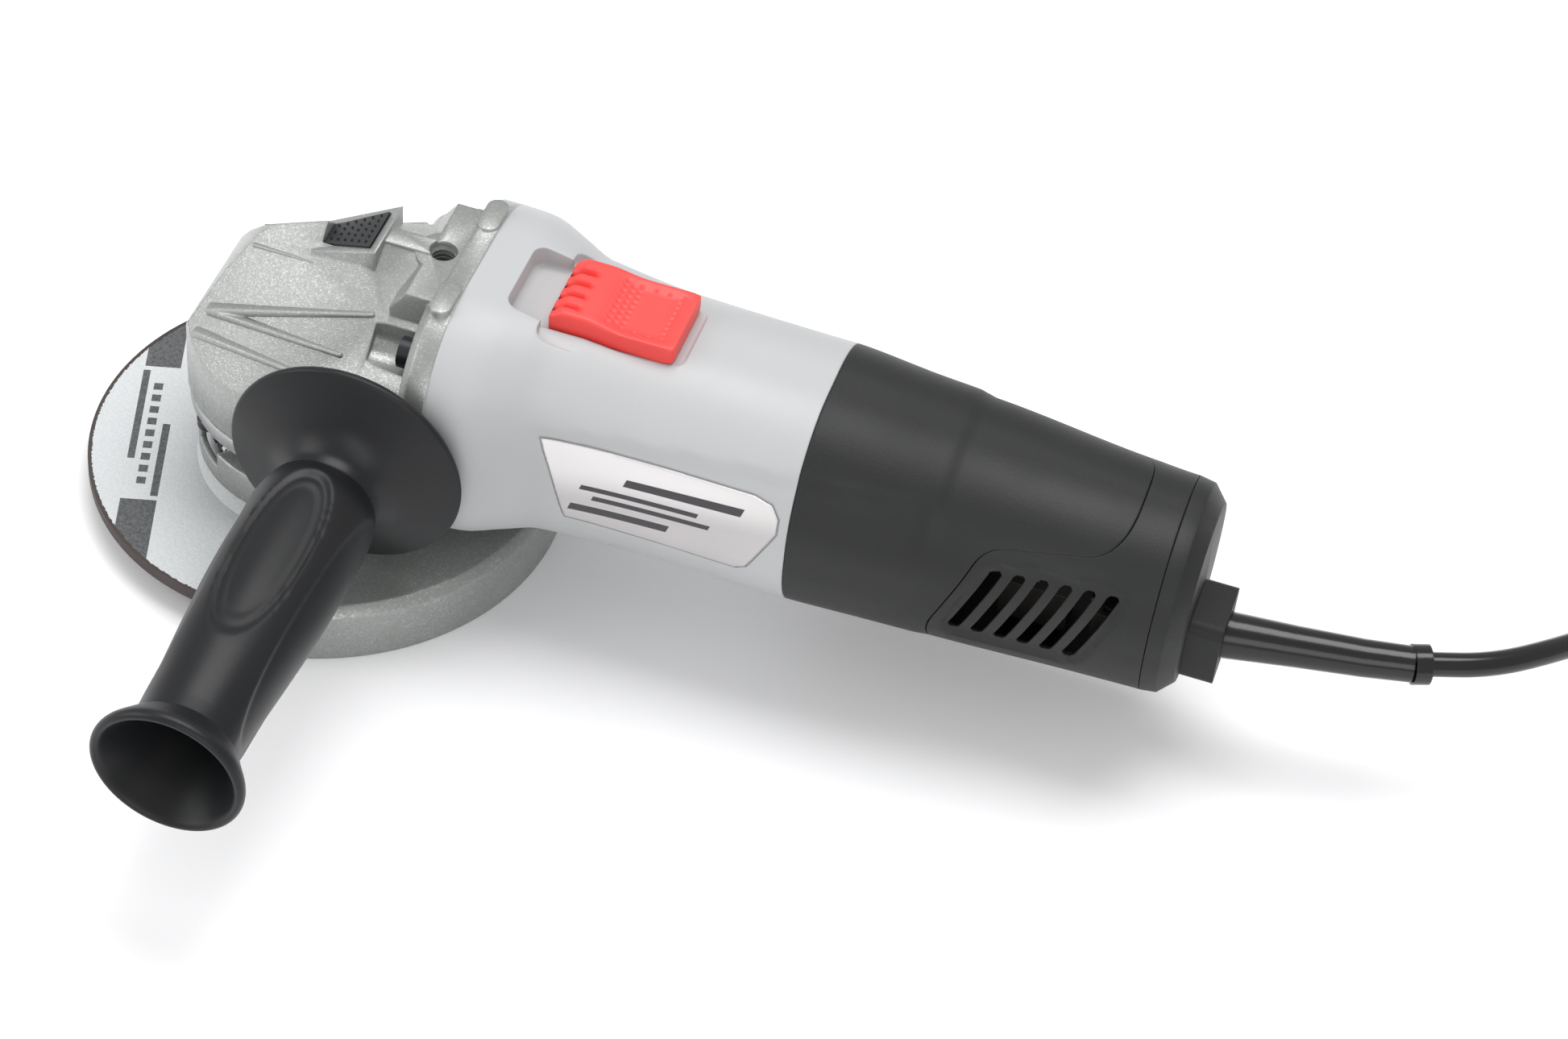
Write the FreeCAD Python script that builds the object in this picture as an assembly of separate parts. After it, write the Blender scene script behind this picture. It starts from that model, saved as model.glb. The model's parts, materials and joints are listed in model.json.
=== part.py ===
"""Compact mains angle grinder for 115 mm discs, as separate pieces.

Frame: the origin is the free end of the output spindle, +Z runs up the
spindle away from the disc, +X runs back along the motor towards the cord, and
the side handle points along -Y. Heights named h_ are above the motor axis.
"""
import FreeCAD
import Part
import math
import os

Vec = FreeCAD.Vector

# ---------------------------------------------------------------- frame
axis_z = 47.2            # motor axis above the spindle's free end
axis_dir = {"X": Vec(1, 0, 0), "Y": Vec(0, 1, 0), "Z": Vec(0, 0, 1)}

# ---------------------------------------------------------------- clearances
fit_gap = 0.05           # radial running fit and seat clearance
slide_gap = 0.35         # between parts that slide past each other
case_gap = 0.25          # parting line between plastic shells

# ---------------------------------------------------------------- gears
gear_module = 1.15
pinion_teeth = 11
crown_teeth = 37
tooth_backlash = 0.35
tooth_tip = 0.9          # in modules times one
tooth_root = 1.25
pressure_tan = 0.364
face_width = 6.0
pinion_nut_r = 3.9       # corner radius, inside the circle of the crown's tooth tips
pinion_nut_t = 3.2
pinion_end_r = 2.5
pinion_hub_end = 27.0
crown_back = 2.2         # body thickness behind the tooth roots

# ---------------------------------------------------------------- spindle and disc
spindle_r = 6.0
journal_r = 4.0
thread_r = 7.0           # M14
end_land = 2.2           # free end of the thread, below its relief groove
relief_r = 6.4
shoulder_r = 8.5
h_spindle_top = 19.0
h_shoulder = -29.3
flange_r = 24.0
flange_t = 5.5
pilot_r = 11.08
pilot_t = 1.8
disc_r = 57.5
disc_t = 3.0
disc_bore_r = 11.13
disc_hub_r = 25.5
disc_cone_r = 30.5
disc_drop = 4.5
nut_r = 19.0
nut_t = 6.0
nut_hole_r = 2.5
nut_hole_pitch_r = 15.0

# ---------------------------------------------------------------- spindle bearings
bearing_12 = (6.0, 16.0, 10.0)    # bore radius, outer radius, width
bearing_10 = (5.0, 13.0, 8.0)
bearing_7 = (3.5, 9.5, 6.0)
ring_share = 0.28                 # radial share of one ring
needle_r = 7.0
needle_len = 8.0
h_bearing_12 = -26.0
front_bearing_x = 34.5
rear_bearing_x = 142.0

# ---------------------------------------------------------------- gear case
case_r = 32.5
h_case_bottom = -13.0
case_side = 31.0         # half width of the casting's walls
chamber_r = 27.0
h_chamber_step = 4.5     # the chamber narrows here, under the sloping roof
chamber_top_r = 22.4
h_chamber_top = 10.6
h_crest = 37.1           # roof's crest over the spindle, and its slopes along and across
crest_climb = 0.427
roof_fall = 0.996
h_saddle = 38.5          # flatter roof near the ring
saddle_half = 2.0
saddle_fall = 0.57
nose = ((-33.4, -6.0), (-28.0, 7.5), (-21.0, 20.5), (-15.5, 28.4), (-2.0, 42.0))
brow = ((24.6, 33.0), (28.6, 38.7), (36.0, 38.7), (36.0, 26.0), (24.6, 26.0))
brow_half = 17.0
rib = (17.0, 29.0, 2.6, 39.3)    # from x, to x, half width, top
channel_r = 5.6          # driver channel in front of each case screw
tunnel_r = 12.0
ring_x0 = 34.0
ring_x1 = 41.0
plate_r = 26.0
plate_x0 = 33.0
handle_x = 24.1
h_handle = 4.5
boss_r = 11.0
boss_y = 39.2
socket_r = 3.4           # M8 core hole
socket_depth = 15.0
top_boss_x = 31.5
top_boss_r = 6.6
h_top_boss = 38.6
top_socket_depth = 10.5
case_screw_r = 2.0
case_screw_head_r = 3.8
case_screw_head_t = 3.5
case_screw_yh = ((24.0, 27.0), (-24.0, 27.0), (26.0, -16.0), (-26.0, -16.0))
case_screw_x1 = 56.0

# ---------------------------------------------------------------- bearing cover
h_cover_flange = -17.0
collar_r = 21.0
h_collar = -28.6
cover_screw_r = 2.0
cover_screw_pitch_r = 25.4
cover_screw_len = 9.0

# ---------------------------------------------------------------- spindle lock
lock_x = 10.0
lock_pin_r = 1.9
lock_travel = 4.0
h_button_seat = 26.5
h_pin_foot = 12.2
h_pin_head = 36.5
button_x = (2.6, 15.4)     # front and rear edge
button_half = (3.4, 6.6)   # half width at each
h_button_front = 34.2      # top at the front edge, and its climb towards the ring
button_climb = 0.47
button_wall = 2.3
h_button_low = 31.0

# ---------------------------------------------------------------- guard
guard_r = 62.2
guard_t = 1.6
h_guard_bottom = -48.7
h_guard_top = -32.5
hat_r = 30.0
h_hat_top = -24.6
band_t = 1.9
band_h = 3.6
ear_angle = 225.0
ear_len = 5.2
guard_edge_bevel = 2.2

# ---------------------------------------------------------------- housings
wall = 2.6
# x, half width, top and bottom above the axis, corner radius
grey_sections = (
    (41.0, 38.5, 39.0, -28.0, 26.5),
    (50.0, 37.6, 38.6, -27.7, 26.0),
    (58.0, 33.6, 37.2, -27.0, 24.5),
    (66.0, 30.4, 35.8, -26.6, 24.5),
    (87.0, 29.3, 34.0, -26.5, 25.0),
    (128.7, 30.0, 32.3, -26.7, 25.5),
)
black_sections = (
    (128.7, 30.0, 32.3, -26.7, 25.5),
    (150.0, 29.0, 30.4, -26.6, 25.0),
    (160.0, 28.6, 29.7, -26.5, 24.8),
    (164.0, 28.0, 28.7, -26.4, 24.5),
    (205.0, 26.0, 25.0, -26.3, 24.0),
    (215.0, 25.5, 24.3, -26.2, 23.5),
)
cap_sections = (
    (215.2, 25.5, 24.3, -26.2, 23.5),
    (219.0, 25.0, 23.6, -25.8, 23.0),
    (222.5, 21.5, 19.8, -22.6, 20.0),
)
seam_polygon = ((207.0, 60.0), (206.0, 24.0), (200.5, 19.0), (174.0, 17.2),
                (163.5, -9.0), (166.5, -60.0), (300.0, -60.0), (300.0, 60.0))
neck_r = 20.0
neck_wall = 2.5
neck_x0 = 110.0
neck_x1 = 150.0

# ---------------------------------------------------------------- side openings
slot_count = 6
slot_pitch = 5.5
slot_width = 2.7
slot_slant = 8.0
slot_x0 = 172.5
h_slot_low = -9.0
h_slot_high = 12.0

# ---------------------------------------------------------------- motor
armature_r = 14.5
air_gap = 0.5
stator_r = 25.4
stator_flat = 23.4
stack_x0 = 64.0
stack_x1 = 102.0
winding_r = 12.6
winding_len = 6.0
coil_r = 22.5
coil_len = 7.0
commutator_r = 10.5
commutator_x0 = 114.0
commutator_x1 = 127.0
fan_r = 24.0
fan_x0 = 44.5
fan_len = 10.5
fan_blades = 9
brush_x = 120.5
brush_half_x = 2.6
brush_half_z = 4.0
brush_len = 9.4
holder_t = 0.8
holder_out = 25.0

# ---------------------------------------------------------------- switch
slider_x0 = 61.5
slider_x1 = 92.5
slider_half_y = 10.4
h_slider_seat = 33.4
h_slider_top = 37.6
slider_travel = 8.5
pocket_gap = 2.0         # left before the slider when it is fully forward
pocket_x0 = slider_x0 - slider_travel - pocket_gap
pocket_x1 = 94.5
h_pocket = 33.0
rod_half_y = 3.0
rod_t = 2.0
h_rod_front = 27.0
h_rod_rear = 21.6
switch_box = (166.0, 186.0, 9.0, -4.0, 15.4)

# ---------------------------------------------------------------- side handle
# distance out from the boss face, radius
grip_stations = ((0.1, 10.0), (1.0, 26.6), (2.2, 28.4), (3.4, 28.8), (4.8, 27.6), (7.0, 21.5),
                 (9.8, 15.8), (12.8, 12.6), (16.3, 11.8), (17.8, 13.4), (24.8, 15.0), (52.8, 15.4),
                 (82.8, 13.4), (95.8, 12.6), (100.8, 15.4), (104.4, 18.1), (106.0, 17.6))
hollow_stations = ((106.0, 15.6), (101.3, 11.2), (92.8, 7.6), (82.8, 6.4))
stud_r = 3.9
stud_thread_r = 3.35
stud_out = 38.0

# ---------------------------------------------------------------- cord
cord_r = 3.0
h_cord = -13.0
h_floor = -48.7
sleeve_stations = ((211.0, 0.0, 0.0, 5.9), (217.0, 0.0, 0.0, 5.9), (231.0, 0.3, 0.0, 5.7), (247.0, 2.6, 0.2, 5.0),
                   (263.0, 5.0, 0.4, 4.6), (274.5, 7.4, 0.5, 4.4))
sleeve_ring = (4.9, 4.0)          # radius and length of the end ring
lead_route = ((292.6, 15.0, -13.2), (307.0, 29.0, -15.6), (318.5, 46.0, -21.5),
              (325.0, 63.0, -31.0), (328.5, 80.0, -40.0), (329.6, 98.0, -44.6))
coil_center = (377.0, 104.0)
coil_mid_r = 36.7
coil_half = (15.3, 6.2)           # half of the coil's radial and upright size
tail_route = ((380.0, 151.6, -39.6), (398.0, 150.4, -41.0), (414.0, 143.0, -39.5),
              (428.0, 131.0, -36.5))
plug_len = 38.0
plug_half_y = 18.0
plug_half_z = 12.0
plug_neck = (24.0, 6.2, 4.6)      # length, root and mouth radius
pin_r = 2.4
pin_len = 19.0
pin_pitch = 19.0


# ================================================================ helpers
def point(x, y, h):
    """Point at height h above the motor axis."""
    return Vec(x, y, axis_z + h)


def box(x0, x1, y0, y1, h0, h1):
    return Part.makeBox(x1 - x0, y1 - y0, h1 - h0, point(x0, y0, h0))


def rod(axis, radius, start, length):
    return Part.makeCylinder(radius, length, start, axis_dir[axis])


def prism(points, direction):
    face = Part.Face(Part.makePolygon(list(points) + [points[0]]))
    return face.extrude(direction)


def prism_xy(outline, h0, h1):
    return prism([point(x, y, h0) for x, y in outline], Vec(0, 0, h1 - h0))


def prism_xh(outline, y0, y1):
    return prism([point(x, y0, h) for x, h in outline], Vec(0, y1 - y0, 0))


def prism_yh(outline, x0, x1):
    return prism([point(x0, y, h) for y, h in outline], Vec(x1 - x0, 0, 0))


def lathe(axis, profile, x=0.0, y=0.0, h=0.0):
    """Turn (along, radius) pairs about an axis through x, y, h."""
    rail, out = {"X": (Vec(1, 0, 0), Vec(0, 0, 1)), "Y": (Vec(0, 1, 0), Vec(1, 0, 0)),
                 "Z": (Vec(0, 0, 1), Vec(1, 0, 0))}[axis]
    base = point(x, y, h)
    corners = [base + rail * along + out * radius for along, radius in profile]
    face = Part.Face(Part.makePolygon(corners + [corners[0]]))
    return face.revolve(base, rail, 360)


def tube(axis, inner, outer, start, length):
    return rod(axis, outer, start, length).cut(rod(axis, inner, start, length))


def join(shapes):
    result = shapes[0]
    if len(shapes) > 1:
        result = shapes[0].multiFuse(shapes[1:])
    return result.removeSplitter()


def around_z(shape, degrees):
    turned = shape.copy()
    turned.rotate(Vec(0, 0, 0), Vec(0, 0, 1), degrees)
    return turned


def mirrored_y(shape):
    return shape.mirror(Vec(0, 0, 0), Vec(0, 1, 0))


def section(x, half_width, top, bottom, corner, inset=0.0):
    """Rounded rectangle in the plane at x, moved in by inset."""
    w, t, b = half_width - inset, top - inset, bottom + inset
    c = corner - inset
    k = c * math.sqrt(0.5)
    edges = []
    turns = ((w - c, t - c, 1, 1), (-(w - c), t - c, -1, 1),
             (-(w - c), b + c, -1, -1), (w - c, b + c, 1, -1))
    arcs = []
    for cy, ch, sy, sh in turns:
        side = point(x, cy + sy * c, ch)
        flat = point(x, cy, ch + sh * c)
        mid = point(x, cy + sy * k, ch + sh * k)
        ends = (side, flat) if sy * sh > 0 else (flat, side)
        arcs.append((ends[0], mid, ends[1]))
    for i, (start, mid, end) in enumerate(arcs):
        edges.append(Part.Arc(start, mid, end).toShape())
        edges.append(Part.makeLine(end, arcs[(i + 1) % 4][0]))
    return Part.Wire(edges)


def body(sections, inset=0.0, x0=None, x1=None):
    """Closed loft through the sections, moved in by inset, with its ends carried to x0 and x1."""
    rows = [list(row) for row in sections]
    if x0 is not None:
        rows = [[x0] + rows[0][1:]] + rows
    if x1 is not None:
        rows = rows + [[x1] + rows[-1][1:]]
    return Part.makeLoft([section(*row, inset=inset) for row in rows], True, True)


def save(name, shape):
    shape.exportStep("parts/" + name + ".step")


# ================================================================ gears
def gear_radii():
    pinion = gear_module * pinion_teeth / 2
    crown = gear_module * crown_teeth / 2
    return pinion, crown


def tooth_outline(scale):
    """Half widths and heights of a straight-flanked tooth about its pitch line."""
    half = gear_module * math.pi / 4 - tooth_backlash / 2
    tip = gear_module * tooth_tip
    root = gear_module * tooth_root
    return [(scale * (half + root * pressure_tan), -scale * root),
            (scale * (half - tip * pressure_tan), scale * tip)]


def crown_gear():
    pinion, crown = gear_radii()
    inner = crown - face_width
    blanks = []
    for radius in (inner, crown):
        scale = radius / crown
        (root_w, root_h), (tip_w, tip_h) = tooth_outline(scale)
        pitch_h = pinion * scale
        overlap = 0.4
        corners = [point(radius, root_w, pitch_h - root_h + overlap), point(radius, tip_w, pitch_h - tip_h),
                   point(radius, -tip_w, pitch_h - tip_h), point(radius, -root_w, pitch_h - root_h + overlap)]
        blanks.append(Part.makePolygon(corners + [corners[0]]))
    tooth = Part.makeLoft(blanks, True, True)
    teeth = [around_z(tooth, 360.0 * i / crown_teeth) for i in range(crown_teeth)]
    root_drop = gear_module * tooth_root
    face_in = pinion * inner / crown + root_drop * inner / crown
    face_out = pinion + root_drop
    back = face_out + crown_back
    blank = lathe("Z", [(face_in, spindle_r), (face_in, inner), (face_out, crown), (back, crown),
                        (back, spindle_r)])
    hub = tube("Z", spindle_r, spindle_r + 3.0, point(0, 0, face_in - 1.2), 1.4)
    gear = join([blank, hub] + teeth)
    hole = rod("Z", lock_pin_r + 0.5, point(lock_x, 0, back - lock_travel), lock_travel + 1.0)
    return gear.cut(Part.makeCompound([around_z(hole, 90.0 * i) for i in range(4)]))


def crown_back_height():
    pinion, _ = gear_radii()
    return pinion + gear_module * tooth_root + crown_back


def pinion_gear():
    pinion, crown = gear_radii()
    inner = crown - face_width
    blanks = []
    for x in (inner, crown):
        scale = x / crown
        (root_w, root_h), (tip_w, tip_h) = tooth_outline(scale)
        radius = pinion * scale
        mid_w = scale * (gear_module * math.pi / 4 - tooth_backlash / 2)
        corners = [point(x, root_w * 0.92, radius + root_h - 0.3), point(x, mid_w * 1.02, radius),
                   point(x, tip_w * 0.86, radius + tip_h), point(x, -tip_w * 0.86, radius + tip_h),
                   point(x, -mid_w * 1.02, radius), point(x, -root_w * 0.92, radius + root_h - 0.3)]
        blanks.append(Part.makePolygon(corners + [corners[0]]))
    tooth = Part.makeLoft(blanks, True, True)
    teeth = []
    for i in range(pinion_teeth):
        turned = tooth.copy()
        turned.rotate(point(0, 0, 0), Vec(1, 0, 0), 360.0 * (i + 0.5) / pinion_teeth)
        teeth.append(turned)
    root_in = (pinion - gear_module * tooth_root) * inner / crown
    root_out = pinion - gear_module * tooth_root
    core = lathe("X", [(inner, 3.0), (inner, root_in), (crown, root_out), (crown + 1.5, root_out + 1.6),
                       (pinion_hub_end, root_out + 1.6), (pinion_hub_end, 3.0)])
    return join([core] + teeth)


def pinion_nut():
    start = gear_radii()[1] - face_width
    corners = [math.radians(60 * i) for i in range(6)]
    ring = [point(start - pinion_nut_t, pinion_nut_r * math.cos(a), pinion_nut_r * math.sin(a)) for a in corners]
    bore = rod("X", pinion_end_r, point(start - pinion_nut_t - 1, 0, 0), pinion_nut_t + 2)
    return prism(ring, Vec(pinion_nut_t, 0, 0)).cut(bore)


# ================================================================ bearings
def bearing(size, axis, start):
    """Outer ring, inner ring and balls of a ball bearing."""
    bore, outer, width = size
    depth = (outer - bore) * ring_share
    ball_r = (outer - bore) * 0.24
    pitch = (outer + bore) / 2
    groove_r = ball_r + 0.06
    mid = start + axis_dir[axis] * (width / 2)
    groove = Part.makeTorus(pitch, groove_r, mid, axis_dir[axis])
    outer_ring = tube(axis, outer - depth, outer, start, width).cut(groove)
    inner_ring = tube(axis, bore, bore + depth, start, width).cut(groove)
    balls = []
    count = 8
    side = axis_dir["X"] if axis == "Z" else axis_dir["Y"]
    for i in range(count):
        ball = Part.makeSphere(ball_r, mid + side * pitch)
        ball.rotate(mid, axis_dir[axis], 360.0 * i / count)
        balls.append(ball)
    return outer_ring, inner_ring, balls


# ================================================================ spindle group
def output_spindle():
    back = crown_back_height()
    nut_low = disc_hub_top() - disc_t - nut_t
    land = end_land - axis_z
    return lathe("Z", [(-axis_z, 0.0), (-axis_z, thread_r), (land, thread_r), (land, relief_r), (nut_low, relief_r),
                       (nut_low, thread_r), (h_shoulder, thread_r), (h_shoulder, shoulder_r),
                       (h_bearing_12, shoulder_r), (h_bearing_12, spindle_r), (back, spindle_r),
                       (back, journal_r), (h_spindle_top, journal_r), (h_spindle_top, 0.0)])


def inner_flange():
    top, low = h_shoulder, h_shoulder - flange_t
    return lathe("Z", [(top, thread_r), (top, flange_r - 3.0), (top - 2.0, flange_r), (low, flange_r),
                       (low, pilot_r), (low - pilot_t, pilot_r), (low - pilot_t, thread_r)])


def disc_hub_top():
    return h_shoulder - flange_t


def cutting_disc():
    top = disc_hub_top()
    low = top - disc_drop
    return lathe("Z", [(top, disc_bore_r), (top, disc_hub_r), (low, disc_cone_r), (low, disc_r),
                       (low - disc_t, disc_r), (low - disc_t, disc_cone_r - 0.6), (top - disc_t, disc_hub_r - 0.6),
                       (top - disc_t, disc_bore_r)])


def lock_nut():
    top = disc_hub_top() - disc_t
    nut = lathe("Z", [(top, thread_r), (top, nut_r), (top - nut_t + 1.0, nut_r),
                      (top - nut_t, nut_r - 1.0), (top - nut_t, thread_r)])
    hole = rod("Z", nut_hole_r, point(nut_hole_pitch_r, 0, top - nut_t - 1), nut_t - 1.0)
    return nut.cut(Part.makeCompound([around_z(hole, 90.0 * i) for i in range(4)]))


# ================================================================ gear case
def roof_solid():
    """All that lies under the roof: two slopes from a climbing crest, and a flatter saddle by the ring."""
    reach, drop = 45.0, 80.0
    start = h_crest - crest_climb * reach
    eave = start - roof_fall * reach
    outline = ((0.0, start), (reach, eave), (reach, -drop), (-reach, -drop), (-reach, eave))
    slopes = prism([point(-reach, y, h) for y, h in outline], Vec(2 * reach, 0, 2 * reach * crest_climb))
    low = h_saddle - saddle_fall * (reach - saddle_half)
    saddle = ((saddle_half, h_saddle), (reach, low), (reach, -drop), (-reach, -drop), (-reach, low),
              (-saddle_half, h_saddle))
    return slopes.common(prism_yh(saddle, -50.0, 50.0))


def head_solid():
    """Faceted casting above the bearing cover, from its plan, side outline and roof."""
    plan = []
    for i in range(19):
        angle = math.radians(90 + 10 * i)
        plan.append((case_r * math.cos(angle), case_side * math.sin(angle)))
    plan = plan + [(ring_x0 + 1, -case_side - 2.0), (ring_x0 + 1, case_side + 2.0)]
    side = ((nose[0][0], h_case_bottom),) + nose + ((ring_x0 + 1, nose[-1][1]), (ring_x0 + 1, h_case_bottom))
    solid = prism_xy(plan, h_case_bottom, 45.0)
    solid = solid.common(prism_xh(side, -50.0, 50.0))
    return solid.common(roof_solid())


def ring_solid():
    row = list(grey_sections[0])
    front = [ring_x0 + 2.0] + row[1:]
    return Part.makeLoft([section(ring_x0, row[1] - 1.5, row[2] - 1.5, row[3] + 1.5, row[4] - 1.5),
                          section(*front), section(*row)], True, True)


def button_outline(grow):
    """The lock button's trapezoid, its narrow end forwards, moved outwards by grow."""
    front, rear = button_x[0] - grow, button_x[1] + grow
    return ((front, button_half[0] + grow), (front, -button_half[0] - grow),
            (rear, -button_half[1] - grow), (rear, button_half[1] + grow))


def under_button_top(drop):
    """All that lies under the button's sloping face, lowered by drop."""
    reach = 40.0
    low = h_button_front - drop - button_climb * (button_x[0] + reach)
    high = h_button_front - drop + button_climb * (reach - button_x[0])
    return prism_xh(((-reach, low), (reach, high), (reach, -reach), (-reach, -reach)), -reach, reach)


def button_walls():
    wall = prism_xy(button_outline(button_wall), h_button_seat - 2.0, 50.0).common(under_button_top(0.6))
    return wall, prism_xy(button_outline(slide_gap), h_button_seat, 60.0)


def gear_case():
    walls, hole = button_walls()
    bosses = [rod("Y", boss_r, point(handle_x, -boss_y, h_handle), 2 * boss_y),
              rod("Z", top_boss_r, point(top_boss_x, 0, 24.0), h_top_boss - 24.0)]
    pads = []
    for y in (15.5, -15.5):
        pads.append(rod("Z", 2.6, point(38.0, y - 3.0, 30.0), 9.7))
        pads.append(rod("Z", 2.6, point(38.0, y + 3.0, 30.0), 9.7))
        pads.append(box(35.4, 40.6, y - 3.0, y + 3.0, 30.0, 39.7))
    rib_x0, rib_x1, rib_half, h_rib = rib
    bridge = [box(rib_x0, rib_x1, -rib_half, rib_half, 28.0, h_rib), prism_xh(brow, -brow_half, brow_half)]
    solid = join([head_solid(), ring_solid(), walls] + bosses + pads + bridge)
    cuts = [rod("Z", chamber_r, point(0, 0, h_case_bottom - 1), h_chamber_step - h_case_bottom + 1),
            rod("Z", chamber_top_r, point(0, 0, h_case_bottom - 1), h_chamber_top - h_case_bottom + 1),
            rod("X", tunnel_r, point(0, 0, 0), plate_x0 + 1.0),
            rod("X", plate_r, point(plate_x0, 0, 0), ring_x1 - plate_x0 + 1.0),
            rod("Z", needle_r, point(0, 0, h_chamber_top - 1), needle_len + 1.6),
            rod("Z", lock_pin_r + fit_gap, point(lock_x, 0, h_chamber_top - 1), 40.0),
            rod("Y", socket_r, point(handle_x, -boss_y - 1, h_handle), socket_depth + 1.0),
            rod("Y", socket_r, point(handle_x, boss_y - socket_depth, h_handle), socket_depth + 1.0),
            rod("Z", socket_r, point(top_boss_x, 0, h_top_boss - top_socket_depth), top_socket_depth + 1.0),
            hole]
    for y, h in case_screw_yh:
        cuts.append(rod("X", case_screw_r + 0.2, point(20.0, y, h), 30.0))
        if h > 0:
            cuts.append(rod("X", channel_r, point(ring_x0 - 12.0, y, h), 12.0))
        else:
            cuts.append(rod("X", case_screw_head_r + 0.2, point(ring_x0 - 9.0, y, h), 9.0))
    for angle in (45, 135, 225, 315):
        screw = rod("Z", cover_screw_r, point(cover_screw_pitch_r + 3.2, 0, h_case_bottom - 1), 9.0)
        cuts.append(around_z(screw, angle))
    return solid.cut(join(cuts[:2])).cut(join(cuts[2:]))


def bearing_cover():
    outer = bearing_12[1]
    ring = lathe("Z", [(h_case_bottom, outer), (h_case_bottom, case_r - 0.8), (h_cover_flange, case_r - 0.8),
                       (h_cover_flange, collar_r), (h_collar, collar_r), (h_collar, shoulder_r + 0.6),
                       (h_bearing_12, shoulder_r + 0.6), (h_bearing_12, outer)])
    hole = rod("Z", cover_screw_r + 0.2, point(cover_screw_pitch_r + 3.2, 0, h_cover_flange - 1), 6.0)
    holes = [around_z(hole, angle) for angle in (45, 135, 225, 315)]
    return ring.cut(Part.makeCompound(holes))


def cover_screws():
    foot = point(cover_screw_pitch_r + 3.2, 0, h_cover_flange)
    shank = rod("Z", cover_screw_r - fit_gap, foot, cover_screw_len)
    head = rod("Z", 3.4, point(cover_screw_pitch_r + 3.2, 0, h_cover_flange - 2.4), 2.4)
    screw = join([shank, head])
    return Part.makeCompound([around_z(screw, a) for a in (45, 135, 225, 315)])


def case_screws():
    screws = []
    for y, h in case_screw_yh:
        head = rod("X", case_screw_head_r, point(ring_x0 - case_screw_head_t, y, h), case_screw_head_t)
        shank = rod("X", case_screw_r - fit_gap, point(ring_x0, y, h), case_screw_x1 - ring_x0)
        screws.append(join([head, shank]))
    return Part.makeCompound(screws)


def bearing_plate():
    bore, outer, width = bearing_10
    end = front_bearing_x + width
    return lathe("X", [(plate_x0, outer - 2.2), (plate_x0, plate_r - fit_gap), (ring_x1, plate_r - fit_gap),
                       (ring_x1, outer + 4.0), (end, outer + 4.0), (end, outer), (front_bearing_x, outer),
                       (front_bearing_x, outer - 2.2)])


# ================================================================ spindle lock
def lock_button():
    cap = prism_xy(button_outline(0.0), h_button_low, 50.0).common(under_button_top(0.0))
    well = rod("Z", lock_pin_r + 1.8, point(lock_x, 0, h_button_low - 1.0), 4.5)
    stem = rod("Z", lock_pin_r + 0.4, point(lock_x, 0, h_button_low), 5.0)
    cap = cap.cut(well.cut(stem))
    return cap.cut(rod("Z", lock_pin_r, point(lock_x, 0, h_button_low - 1.0), h_pin_head - h_button_low + 1.0))


def lock_pin():
    return rod("Z", lock_pin_r, point(lock_x, 0, h_pin_foot), h_pin_head - h_pin_foot)


def lock_spring():
    low, high = h_button_seat, h_button_low + 3.5
    return tube("Z", lock_pin_r + 0.5, lock_pin_r + 1.5, point(lock_x, 0, low), high - low)


# ================================================================ guard
def guard_shell():
    inner = collar_r + band_t + 0.2
    hat = lathe("Z", [(h_hat_top, inner), (h_hat_top, hat_r), (h_guard_top - guard_t, hat_r),
                      (h_guard_top - guard_t, hat_r - guard_t), (h_hat_top - guard_t, hat_r - guard_t),
                      (h_hat_top - guard_t, inner)])
    b = guard_edge_bevel
    pan = lathe("Z", [(h_guard_top, hat_r - 0.5), (h_guard_top, guard_r - b), (h_guard_top - b, guard_r),
                      (h_guard_bottom, guard_r), (h_guard_bottom, guard_r - guard_t),
                      (h_guard_top - b, guard_r - guard_t), (h_guard_top - guard_t, guard_r - guard_t - b),
                      (h_guard_top - guard_t, hat_r - 0.5)])
    half = pan.common(box(-3.0, 80.0, -80.0, 80.0, -60.0, 0.0))
    window = box(hat_r - 9.0, hat_r + 1.0, -5.5, 5.5, h_hat_top - band_h - 1.0, h_hat_top + 1.0)
    return join([hat, half]).cut(around_z(window, ear_angle))


def guard_clamp_band():
    inner = collar_r + fit_gap
    ring = tube("Z", inner, inner + band_t, point(0, 0, h_hat_top - band_h), band_h)
    ears = [box(collar_r + 1.0, collar_r + 1.0 + ear_len, y, y + 1.6, h_hat_top - band_h, h_hat_top)
            for y in (-2.8, 1.2)]
    gap = box(collar_r - 2.0, collar_r + 4.0, -1.2, 1.2, h_hat_top - band_h - 1, h_hat_top + 1)
    band = join([ring] + [around_z(e, ear_angle) for e in ears]).cut(around_z(gap, ear_angle))
    hole = rod("Y", 1.3, point(collar_r + 4.4, -6.0, h_hat_top - band_h / 2), 12.0)
    return band.cut(around_z(hole, ear_angle))


def guard_clamp_screw():
    h = h_hat_top - band_h / 2
    shank = rod("Y", 1.25, point(collar_r + 4.4, -2.8, h), 8.0)
    head = rod("Y", 1.75, point(collar_r + 4.4, -4.6, h), 1.8)
    nut = rod("Y", 1.75, point(collar_r + 4.4, 2.8, h), 1.6)
    return around_z(join([shank, head, nut]), ear_angle)


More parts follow.
